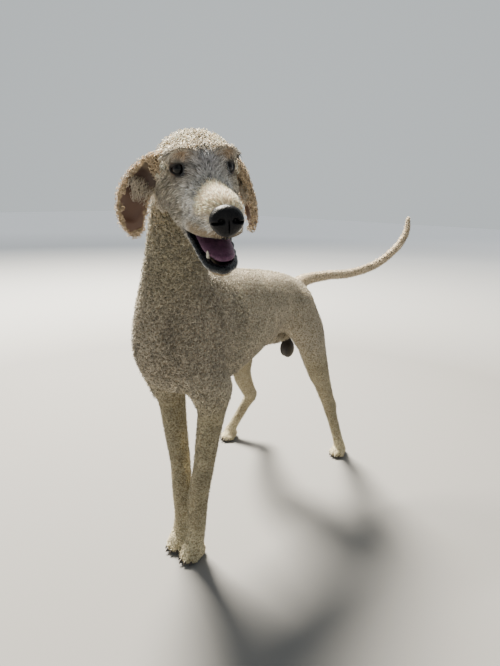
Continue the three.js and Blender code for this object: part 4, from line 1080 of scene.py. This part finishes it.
def tongueShape(share, angle):
    start = tongueLook["tipFrom"]
    tip = np.sqrt(np.clip(1 - ((share - start) / (1 - start)) ** 4, 0, 1)) ** (share > start)
    groove = tongueLook["groove"] * np.exp(-(((angle - math.pi / 2) / tongueLook["grooveWidth"]) ** 2))
    return tip * (1 - groove) * (1 + tongueLook["flat"] * np.cos(2 * angle))


def tongueFinish():
    finish = Finish("tongueFlesh", 0.36, **wet(0.15, 0.2, 0.35))
    grain = finish.noise(0.9, 4)
    colour = finish.tint((0.14, 0.055, 0.105), (0.30, 0.14, 0.22), finish.span(grain, 0.35, 0.7))
    colour = finish.tint(colour, (0.05, 0.02, 0.045), finish.span(finish.noise(9), 0.45, 0.7, 0, 0.7))
    return finish.wear(colour, finish.bump(grain, 0.5), finish.span(grain, 0.3, 0.7, 0.5, 0.28))


tongueSweep = headSweep([[x, y, z, w * tongueLook["wider"], h] for x, y, z, w, h in head["tongue"]])
addPiece("tongue", *sweptTube(tongueSweep, tongueLook["rows"], tongueLook["columns"], tongueShape),
         tongueFinish(), "tongue", ["tongue"])

# Lower lip: a rolled band of wet black leather round the rim of the jaw, thinner and, by a sine along its
# length, crimped towards its corners
lip = {
    "rise": 0.45, "from": 0.30, "to": 0.97, "steps": 14, "front": 9,
    "girth": (5.6, 6.6), "thinner": (0.45, 0.35),
    "crimp": 0.20, "crimps": 38, "crimpFrom": (0.25, 0.6), "crimpTurn": 0.6, "rows": 220, "columns": 20,
}


def lipPath():
    share = np.linspace(lip["from"], lip["to"], lip["steps"])
    centre, across, up, tangent, width, height = headSweep(head["jaw"]).at(share)
    upward = up * np.sign(up @ headUp)[:, None]
    outward = across * np.sign(across @ headLeft)[:, None]
    reach, climb = width * math.cos(lip["rise"]), height * math.sin(lip["rise"])
    rims = {sign: centre + outward * sign * reach[:, None] + upward * climb[:, None] for sign in (1, -1)}
    front = centre[-1] + tangent[-1] * lip["front"] + upward[-1] * height[-1] * math.sin(lip["rise"])
    line = np.vstack([rims[-1], front, rims[1][::-1]])
    corner = abs(np.linspace(-1, 1, len(line))) ** 3
    girth = [most * (1 - less * corner) for most, less in zip(lip["girth"], lip["thinner"])]
    return Sweep(np.hstack([line, np.stack(girth, -1)]), headUp)


def lipShape(share, angle):
    away = abs(2 * share - 1)
    ends = np.sqrt(np.clip(1 - away**12, 0, 1))
    crimp = lip["crimp"] * smoothStep(*lip["crimpFrom"], away) * np.sin(lip["crimps"] * math.pi * share)
    return ends * (1 + crimp * np.cos(angle - lip["crimpTurn"]))


lipMaterial = grainFinish(
    "wetLip", 0.22, (2.4, 3), (0.002, 0.003, 0.004), (0.010, 0.012, 0.017), (0.45, 0.75), 1.1,
    (0.3, 0.7, 0.15, 0.36), **wet(0.25, 0.05, 0.25))
addPiece("lowerLip", *sweptTube(lipPath(), lip["rows"], lip["columns"], lipShape), lipMaterial,
         "nose_leather")

# The lower canine tooth that shows beside the tongue: a cone that curves back by bend t^2 and thins as
# the root of 1 - slim t^1.6
tooth = {"root": (-15, -74, -105), "length": 14, "radius": 2.6, "lean": (-0.06, -0.2, 1), "bend": 2.2,
         "slim": 0.97, "power": 1.6, "steps": (0, 0.3, 0.6, 0.85, 1), "rows": 14, "columns": 16}


def toothFinish():
    finish = Finish("toothEnamel", 0.22, **{"Coat Weight": 0.3})
    share = finish.span(finish.noise(3), 0.4, 0.8)
    return finish.wear(finish.tint((0.82, 0.76, 0.62), (0.60, 0.50, 0.34), share),
                       finish.bump(finish.noise(1.2), 0.1))


def hornGirth(horn, share):
    return [horn["radius"] * math.sqrt(1 - horn["slim"] * share ** horn["power"])] * 2


toothRows = []
for share in tooth["steps"]:
    place = np.array(tooth["root"]) + unit(np.array(tooth["lean"])) * tooth["length"] * share
    toothRows.append([*(place + np.array([0, tooth["bend"], 0]) * share**2), *hornGirth(tooth, share)])
addPiece("rightCanine", *sweptTube(headSweep(toothRows), tooth["rows"], tooth["columns"]), toothFinish(),
         "claw")

# Claws: blunt dark horns, each bending down along an arc, four on a paw
claws = {"root": (0, -11.5, -1.5), "length": 10, "radius": 2.5, "droop": 1.0, "bend": 0.6, "slim": 0.93,
         "power": 1.5, "steps": (0, 0.35, 0.7, 1), "rows": 12, "columns": 12}


def claw(root):
    rows = []
    for share in claws["steps"]:
        bend, reach = claws["droop"] * share, claws["length"] * share
        place = root + [0, -reach * math.cos(bend * claws["bend"]), -reach * math.sin(bend * claws["bend"])]
        rows.append([*place, *hornGirth(claws, share)])
    return sweptTube(Sweep(rows), claws["rows"], claws["columns"])


clawMaterial = grainFinish("darkHorn", 0.35, (1.0, 3), (0.018, 0.015, 0.013), (0.11, 0.085, 0.06),
                           (0.35, 0.8), 0.15, (0.3, 0.7, 0.3, 0.5), **{"Coat Weight": 0.2})
for (side, kind), middle in footCentres.items():
    made = [claw(middle + [across, -ahead, height] + np.array(claws["root"]))
            for across, ahead, height in paws["toes"]]
    corners = [faces[0] + n * len(points) for n, (points, faces) in enumerate(made)]
    clawFaces = np.concatenate(corners), np.concatenate([faces[1] for points, faces in made])
    addPiece(side + kind.capitalize() + "pawClaws", np.vstack([points for points, faces in made]), clawFaces,
             clawMaterial, "claw", [f"{side}_{kind}paw_claw_{n}" for n in (1, 2, 3, 4)])

# Scrotum: two balls melted together under a short neck of skin
scrotum = {"centre": (2, 440, 383), "radii": (14, 23, 26), "coat": 1, "apart": 5, "cell": 2.2,
           "reach": (-36, 46), "top": ((-2, 2, 24), (9, 12, 14)), "blend": 5, "topBlend": 8}


def scrotumField(points):
    middle, radii = np.array(scrotum["centre"]), np.array(scrotum["radii"]) - scrotum["coat"]
    apart = np.array([scrotum["apart"], 0, -1])
    one, other = (Ball(place, radii).distance(points) for place in (middle + apart, middle - apart))
    top = Ball(middle + scrotum["top"][0], scrotum["top"][1])
    return smoothMin(smoothMin(one, other, scrotum["blend"]), top.distance(points), scrotum["topBlend"])


bareMaterial = grainFinish("darkBareSkin", 0.55, (2.6, 4), (0.010, 0.007, 0.006), (0.030, 0.020, 0.015),
                           (0.4, 0.7), 0.9)
low, high = scrotum["reach"]
scrotumAxes = [np.arange(at + low, at + high, scrotum["cell"]) for at in scrotum["centre"]]
addPiece("scrotum", *netOf(scrotumField, scrotumAxes, 1), bareMaterial, "bare_skin", ["scrotum"])
print("mouth, claws and scrotum made")


# Coat. Roots are random places on the skin's faces, thinned to the one nearest the middle of each
# cell of a grid, whose middles a sine of the cell's hash shifts, so that they lie evenly.
roots = {"tries": 2.5, "cell": 1.15, "shift": 0.3, "primes": (73856093, 19349663, 83492791),
         "waves": (0.37, 0.53, 0.71)}


def scatter(chosen, spacing, random):
    quads = skinPoints[skinFaces[chosen]]
    area = 0.5 * np.linalg.norm(np.cross(quads[:, 2] - quads[:, 0], quads[:, 3] - quads[:, 1]), axis=1)
    number = int(roots["tries"] * area.sum() / spacing**2)
    pick = np.searchsorted(np.cumsum(area), random.random(number) * area.sum())
    rows = skinFaces[chosen[np.minimum(pick, len(chosen) - 1)]]
    s, t = random.random((2, number, 1))
    weights = [(1 - s) * (1 - t), s * (1 - t), s * t, (1 - s) * t]
    points = sum(weight * skinPoints[rows[:, k]] for k, weight in enumerate(weights))
    normals = unit(sum(weight * skinNormals[rows[:, k]] for k, weight in enumerate(weights)))
    cell = np.floor(points / (spacing * roots["cell"])).astype(np.int64)
    key = np.bitwise_xor.reduce(cell * roots["primes"], axis=1)
    shifted = cell + 0.5 + roots["shift"] * np.sin(key[:, None] * np.array(roots["waves"]))
    away = np.linalg.norm(points - shifted * spacing * roots["cell"], axis=1)
    order = np.lexsort((away, key))
    first = order[np.append(True, np.diff(key[order]) != 0)]
    return points[first], normals[first], rows[first, 0]


# Tubes of three sides along many paths at once, each closed at the root and drawn to a point. path is
# tufts x rings x 3, girth is tufts x rings, and tones run from root to tip. On the unwrap each tuft
# takes a small square at its root's place.
tube = {"walls": 3, "tip": 1.6, "square": 0.003, "helper": (0.01, 0.02, 0.03)}


def addTufts(name, path, girth, tones, rootPlace, material, slot):
    (tufts, rings), walls = girth.shape, tube["walls"]
    along = unit(np.gradient(path, axis=1))
    helper = np.cross(along[:, :1], along[:, -1:]) + np.array(tube["helper"])
    across = unit(np.cross(along, unit(helper)))
    up = np.cross(along, across)
    angle = 2 * math.pi * np.arange(walls) / walls
    arms = across[:, :, None] * np.cos(angle)[:, None] + up[:, :, None] * np.sin(angle)[:, None]
    ring = path[:, :, None] + arms * girth[:, :, None, None]
    tip = path[:, -1] + along[:, -1] * girth[:, -1:] * tube["tip"]
    points = np.concatenate([ring.reshape(tufts, -1, 3), tip[:, None]], 1)
    last, j = rings * walls, np.arange(walls)  # the tip's own number in a tuft, and the walls' numbers
    sheet = gridFaces(rings, walls)
    point = np.stack([last - walls + j, last - walls + (j + 1) % walls, np.full(walls, last)], -1)
    one = np.concatenate([sheet.ravel(), point.ravel(), j[::-1]])
    sizes = np.concatenate([np.full(len(sheet), 4), np.full(walls, 3), [walls]])
    corners = (one[None] + (last + 1) * np.arange(tufts)[:, None]).ravel()
    columns = np.append(np.arange(last) % walls / walls, 0.5)[one]
    wraps = np.zeros(len(one), bool)
    wraps[: sheet.size] = np.tile([False, True, True, False], len(sheet)) & (one[: sheet.size] % walls == 0)
    levels = np.append(np.arange(last) // walls / rings, 1.0)[one]
    square = np.stack([np.where(wraps, 1.0, columns), levels], -1)
    unwrap = rootPlace[:, None] * (1 - tube["square"]) + square[None] * tube["square"]
    toneRows = np.concatenate([np.repeat(tones, walls, 1), tones[:, -1:]], 1)
    print(name, tufts, "tufts,", tufts * (len(sheet) * 2 + walls + walls - 2), "triangles")
    addPiece(name, points.reshape(-1, 3), (corners, np.tile(sizes, tufts)), material, slot,
             tones=toneRows.reshape(-1, 3), unwrap=unwrap.reshape(-1, 2))


# The skull's middle, and how much the hair on it falls between two places: least, more, from and to
skull = {"middle": (0, 20, -25), "fall": (0.2, 0.6), "fallFrom": (-30, 40)}


# Where a root lies on an unwrap of its part: round its sweep and along it, or round the skull
def rootUnwrap(points, sweep):
    if sweep is None:
        arm = unit(headLocal(points) - skull["middle"])
        around = np.arctan2(arm[:, 0], -arm[:, 1]) / (2 * math.pi) + 0.5
        return np.stack([around, np.arccos(arm[:, 2]) / math.pi], -1)
    share, angle = sweep.locate(points)[1:]
    return np.stack([angle / (2 * math.pi) + 0.5, share], -1)


# The way the hair lies at each root: along its sweep, flattened onto the skin. On the head it lies
# backwards, and falls more the further back it is.
def lieOf(points, normals, sweep, sign, drop):
    if sweep is None:
        least, more = skull["fall"]
        fall = least + more * smoothStep(*skull["fallFrom"], headLocal(points)[:, 1])
        lie = headAxes[1] - fall[:, None] * headAxes[2]
    else:
        lie = sweep.at(sweep.locate(points)[1])[3] * sign + [0, 0, -drop]
    return unit(lie - dot(lie, normals)[:, None] * normals)


# Curls: each is a coil that leans over the way the hair lies. It climbs along its axis while it turns
# about it, at a radius of sin(pi times a share that runs from near 0 to near 1)^0.7, so it grows from
# the root and shrinks to the tip. The girth thins as 1 - t^2.
coil = {"vary": 0.35, "askew": 0.45, "from": 0.15, "run": 0.7, "power": 0.7, "thinner": 0.55}


def curlPaths(points, normals, lie, look, random):
    count = len(points)
    u = np.linspace(0, 1, look["rings"])[None]
    size = look["size"] * (1 + coil["vary"] * (random.random((count, 1)) - 0.5))
    hand = np.where(random.random((count, 1)) < 0.5, -1, 1)
    axis = unit(normals + look["lean"] * lie + coil["askew"] * (random.random((count, 3)) - 0.5))
    one = unit(np.cross(axis, lie + 0.01))
    two = np.cross(axis, one)
    theta = 2 * math.pi * (random.random((count, 1)) + hand * look["turns"] * u)
    radius = size * look["coil"] * np.sin(math.pi * (coil["from"] + coil["run"] * u)) ** coil["power"]
    path = points[:, None] + axis[:, None] * (size * look["rise"] * (u - look["sunk"]))[..., None]
    path = path + one[:, None] * (radius * np.cos(theta))[..., None]
    path = path + two[:, None] * (radius * np.sin(theta))[..., None]
    return path, size * look["thick"] * (1 - coil["thinner"] * u**2)


# Short straight hairs that lie back along the skin and lift a little at the tip, longer on the cheeks
# and shorter round the eyes and over the upper lip
facial = {
    "cheeks": (-30, 40), "eye": ((33, -4, 0), (17, 17, 13)), "eyeShare": 1.3, "eyeShorter": 0.70,
    "lip": (-54, -62), "lipBack": (10, -20), "lipShorter": 0.45,
    "length": (0.7, 0.6), "thinnest": 0.7, "thinner": 0.6,
}


def hairPaths(points, normals, lie, look, random):
    count = len(points)
    u = np.linspace(0, 1, look["rings"])[None, :, None]
    local = headLocal(points)
    longer = 1 + look["longer"] * smoothStep(*facial["cheeks"], local[:, 1])
    mirror = np.stack([abs(local[:, 0]), local[:, 1], local[:, 2]], -1)
    nearEye = np.minimum(1, facial["eyeShare"] * spot(mirror, *facial["eye"]))
    nearLip = smoothStep(*facial["lip"], local[:, 2]) * smoothStep(*facial["lipBack"], local[:, 1])
    longer = longer * (1 - facial["eyeShorter"] * nearEye) * (1 - facial["lipShorter"] * nearLip)
    least, more = facial["length"]
    length = look["size"] * longer[:, None, None] * (least + more * random.random((count, 1, 1)))
    sway = np.cross(normals, lie)[:, None] * (random.random((count, 1, 1)) - 0.5) * look["sway"]
    lift = (look["lift"] * u - look["sunk"]) * normals[:, None]
    path = points[:, None] + length * (u * lie[:, None] + u**2 * sway + lift)
    girth = look["thick"] * np.maximum(longer, facial["thinnest"])[:, None]
    return path, girth * (1 - facial["thinner"] * u[..., 0] ** 2)


# Hair tones along each tuft: darker and browner at the root, partly darker roots and partly painted shade
# deep in the coat, lighter at the tip, no two tufts alike
def tuftTones(tone, look, random, tipFrom=0.6):
    u = np.linspace(0, 1, look["rings"])[None, :, None]
    vary = 1 + look["vary"] * (random.random((len(tone), 1, 1)) - 0.5)
    root = tone[:, None] * np.array(look["rootTint"])
    lighter = (tone[:, None] * look["tipLight"] - root) * smoothStep(0.0, tipFrom, u)
    return np.clip((root + lighter) * vary, 0, 1)


def coatFinish(name, roughness):
    finish = Finish(name, roughness, **{"Sheen Weight": 0.25, "Sheen Roughness": 0.5})
    blotches = finish.span(finish.noise(24, 3), 0.45, 0.7, 0, 0.2)
    colour = finish.tint(finish.attribute("tone", "Color"), (0.66, 0.59, 0.50), blotches, "MULTIPLY")
    fibres = finish.noise(0.5, 2)
    colour = finish.tint(colour, (0.42, 0.36, 0.29), finish.span(fibres, 0.5, 0.8, 0, 0.22))
    return finish.wear(colour, finish.bump(fibres, 0.25))


# How each kind of hair looks: the way between roots and the size in millimetres, and then the coil's
# radius, rise, start under the skin and girth in shares of that size
lookParts = ("spacing", "size", "coil", "rise", "sunk", "turns", "lean", "thick", "rings", "vary",
             "tipLight", "rootTint")
looks = {
    "body": (4.8, 1.12, 1.9, 4.2, 0.25, 1.0, 0.8, 0.82, 5, 0.60, 1.15, (0.45, 0.40, 0.34)),
    "neck": (4.9, 1.25, 2.0, 5.0, 0.2, 1.1, 0.6, 0.80, 5, 0.95, 1.30, (0.34, 0.305, 0.25)),
    "leg": (4.2, 0.9, 1.7, 3.8, 0.25, 1.0, 1.0, 0.8, 5, 0.55, 1.15, (0.45, 0.40, 0.34)),
    "topknot": (3.9, 1.25, 2.1, 7.5, 0.15, 1.5, 0.7, 0.74, 8, 0.80, 1.15, (0.38, 0.33, 0.27)),
    "brow": (2.9, 0.75, 1.7, 5.0, 0.25, 1.2, 1.2, 0.75, 6, 0.70, 1.15, (0.40, 0.35, 0.29)),
    "ear": (3.1, 1.0, 2.3, 6.5, 0.2, 1.4, 0.5, 0.78, 7, 0.60, 1.15, (0.42, 0.35, 0.28)),
    "lock": (2.7, 1.0, 1.5, 15.0, 0.05, 2.0, 1.7, 0.50, 10, 0.50, 1.10, (0.42, 0.37, 0.32)),
    "side": (3.2, 1.1, 1.8, 13.0, 0.05, 1.7, 1.0, 0.55, 9, 0.55, 1.10, (0.40, 0.35, 0.30)),
}
looks = {name: dict(zip(lookParts, row)) for name, row in looks.items()}
looks["face"] = {"spacing": 2.35, "size": 7.5, "longer": 0.7, "lift": 0.17, "sunk": 0.05, "sway": 0.6,
                 "thick": 0.50, "rings": 3, "vary": 1.00, "rootTint": (0.36, 0.34, 0.32), "tipLight": 1.20}
# Where the pieces of the coat part: along the trunk, by share of the topknot and of the ear, and the
# longer hair beside the ears by its middle, size and least share
parting = {
    "bare": 0.45, "chestEnd": 130, "flankEnd": 345, "crown": 5, "browFrom": 4, "crownTop": 0.4,
    "browTop": 0.2, "faceTop": 0.6, "lockInner": 0.4, "lockShare": (0.36, 0.52), "lockReach": 93,
    "beside": ((56, 80, -60), (16, 30, 42)), "besideLeast": 0.4, "lockTone": 0.8, "overFloor": 0.4,
}
faceRegion, faceTop = region[skinFaces[:, 0]], onTop[skinFaces[:, 0]]
faceMiddle = skinPoints[skinFaces].mean(1)
back, clear = faceMiddle[:, 1], topknot.distance(faceMiddle)
furred = bare[skinFaces].max(1) < parting["bare"]
chest, rump = back < parting["chestEnd"], back >= parting["flankEnd"]


def furry(name):
    return within(faceRegion, name) & furred


# For each piece of the coat: its faces, look, the sweep that it lies along (none on the head), which
# way along it, how much it droops, and its slot. The order sets each piece's random numbers.
coats = {
    "neckCoat": (furry("neck"), "neck", neck, -1, 0.2, "body_coat"),
    "chestCoat": (furry("trunk") & chest, "neck", trunk, 1, 0.6, "body_coat"),
    "flankCoat": (furry("trunk") & ~chest & ~rump, "body", trunk, 1, 0.3, "body_coat"),
    "rumpCoat": (furry("trunk") & rump, "body", trunk, 1, 0.5, "body_coat"),
    "tailCoat": (furry("tail"), "leg", tail, 1, 0, "body_coat"),
    "topknotCurls": (furry("head") & (clear < parting["crown"]) & (faceTop > parting["crownTop"]), "topknot",
                     None, 1, 0, "face_coat"),
    "browCurls": (furry("head") & (clear > parting["browFrom"]) & (faceTop > parting["browTop"]), "brow",
                  None, 1, 0, "face_coat"),
    "faceHair": (furry("head") & (faceTop < parting["faceTop"]), "face", None, 1, 0, "face_coat"),
}
for side in sides:
    coats[side + "EarCurls"] = (furry(side + "Ear"), "ear", earShapes[side]["core"], 1, 0, "ear_coat")
for side in sides:
    joints = legs["hind"][side]
    hindleg = Sweep(planned(legs["thigh"], joints)[:-1] + rearPasternRows(joints)[1:])
    coats[side + "HindlegCoat"] = (furry(side + "Hindleg"), "leg", hindleg, 1, 0, "body_coat")
    coats[side + "ForelegCoat"] = (furry(side + "Foreleg"), "leg", limbs[side]["foreleg"], 1, 0, "body_coat")
for side, sign in sides.items():
    core = earShapes[side]["core"]
    share, inner = (earShapes[side][name][skinFaces[:, 0]] for name in ("share", "inner"))
    low, high = parting["lockShare"]
    inner = (inner > parting["lockInner"]) & (abs(headLocal(faceMiddle)[:, 0]) < parting["lockReach"])
    coats[side + "EarLocks"] = (inner & (share > low) & (share < high), "lock", core, 1, 0, "ear_coat")
    beside = spot(headLocal(faceMiddle) * (sign, 1, 1), *parting["beside"]) > parting["besideLeast"]
    coats[side + "SideHair"] = ((furry("head") | furry("neck")) & beside, "side", core, 1, 0, "face_coat")
curlMaterial, faceMaterial = coatFinish("clippedCurls", 0.8), coatFinish("shavedFaceHair", 0.7)
for order, (name, (chosen, lookName, sweep, sign, drop, slot)) in enumerate(coats.items()):
    look, random = looks[lookName], np.random.default_rng(100 + order)
    kind, material = (hairPaths, faceMaterial) if lookName == "face" else (curlPaths, curlMaterial)
    points, normals, rows = scatter(np.nonzero(chosen)[0], look["spacing"], random)
    lie = lieOf(points, normals, sweep, sign, drop)
    path, girth = kind(points, normals, lie, look, random)
    path[..., 2] = np.maximum(path[..., 2], paws["sole"] + parting["overFloor"])
    tone = coatTone(points, region[rows], headShare[rows])
    if lookName in ("lock", "side"):
        tone = mixed(tone, "earLock", np.full(len(tone), parting["lockTone"]))
    addTufts(name, path, girth, tuftTones(tone, look, random), rootUnwrap(points, sweep), material, slot)

# Studio: a pale floor, a lamp behind and above, weak ones in front, and a pale room that is brighter
# behind the dog: its strength grows with the cosine to that side. The floor has painted light: its colour
# is darker near the dog, where the lamp falls, and paler far off, where it also glows.
studio = {
    # the floor's near and far colours and its glow are painted light
    "floor": 30, "floorNear": (0.22, 0.215, 0.21), "floorFar": (0.90, 0.91, 0.92), "floorFade": (1.5, 6.0),
    "floorGlow": (0.89, 0.92, 0.97), "glowFade": (3.0, 9.0, 0, 0.36),
    "brightSide": (-0.56, 0.83, 0), "glow": (-0.4, 1, 0.30, 0.74), "room": (0.87, 0.93, 0.95, 1),
    "camera": (0.668, -0.737, 0.80), "yaw": 34, "pitch": 15.6, "roll": 1.65, "lens": 36,
    "target": (0, 0, 0.5),
    "lights": {  # place, size, power and colour
        "backLight": ((-2.1, 1.05, 3.4), 1.2, 1300, (1.0, 0.94, 0.81)),
        "frontLight": ((1.8, -2.6, 2.0), 2.4, 8, (0.98, 1.0, 0.95)),
        "sideLight": ((-2.2, -2.4, 1.6), 2.4, 4, (0.92, 0.96, 1.0)),
    },
}


# Painted light: the floor glows, and pales, the further it is from the middle
def floorFinish():
    finish = Finish("paleFloor", 0.9, **{"Emission Color": studio["floorGlow"]})
    away = finish.node("VectorMath", {0: finish.place}, operation="LENGTH").outputs["Value"]
    finish.join(finish.span(away, *studio["glowFade"]), finish.shader.inputs["Emission Strength"])
    share = finish.span(away, *studio["floorFade"])
    return finish.wear(finish.tint(studio["floorNear"], studio["floorFar"], share))


scene = bpy.context.scene
half = studio["floor"] / 2
floorMesh = bpy.data.meshes.new("floor")
floorMesh.from_pydata([(-half, -half, 0), (half, -half, 0), (half, half, 0), (-half, half, 0)], [],
                      [(0, 1, 2, 3)])
floorMesh.materials.append(floorFinish())
floor = bpy.data.objects.new("floor", floorMesh)
scene.collection.objects.link(floor)

world = bpy.data.worlds.new("paleRoom")
world.use_nodes = True
nodes, links = world.node_tree.nodes, world.node_tree.links
facing, glow = nodes.new("ShaderNodeVectorMath"), nodes.new("ShaderNodeMapRange")
facing.operation = "DOT_PRODUCT"
facing.inputs[1].default_value = studio["brightSide"]
for key, value in zip(("From Min", "From Max", "To Min", "To Max"), studio["glow"]):
    glow.inputs[key].default_value = value
links.new(nodes.new("ShaderNodeTexCoord").outputs["Generated"], facing.inputs[0])
links.new(facing.outputs["Value"], glow.inputs["Value"])
links.new(glow.outputs["Result"], nodes["Background"].inputs["Strength"])
nodes["Background"].inputs["Color"].default_value = studio["room"]
scene.world = world

for name, (place, size, power, colour) in studio["lights"].items():
    light = bpy.data.lights.new(name, "AREA")
    light.energy, light.size, light.color = power, size, colour
    lamp = bpy.data.objects.new(name, light)
    lamp.location = place
    lamp.rotation_euler = (Vector(studio["target"]) - Vector(place)).to_track_quat("-Z", "Y").to_euler()
    scene.collection.objects.link(lamp)

yaw, pitch, roll = (math.radians(studio[name]) for name in ("yaw", "pitch", "roll"))
ahead = np.array([-math.sin(yaw) * math.cos(pitch), math.cos(yaw) * math.cos(pitch), -math.sin(pitch)])
right = np.array([math.cos(yaw), math.sin(yaw), 0])
upward = np.cross(right, ahead)
cameraRight = math.cos(roll) * right + math.sin(roll) * upward
cameraUp = math.cos(roll) * upward - math.sin(roll) * right
cameraRows = np.stack([cameraRight, cameraUp, -ahead, np.array(studio["camera"]) + shift], 1)
camera = bpy.data.objects.new("camera", bpy.data.cameras.new("camera"))
camera.data.sensor_fit, camera.data.sensor_width, camera.data.lens = "HORIZONTAL", 36, studio["lens"]
camera.matrix_world = Matrix([*cameraRows.tolist(), [0, 0, 0, 1]])
scene.collection.objects.link(camera)
scene.camera = camera
print("studio ready")
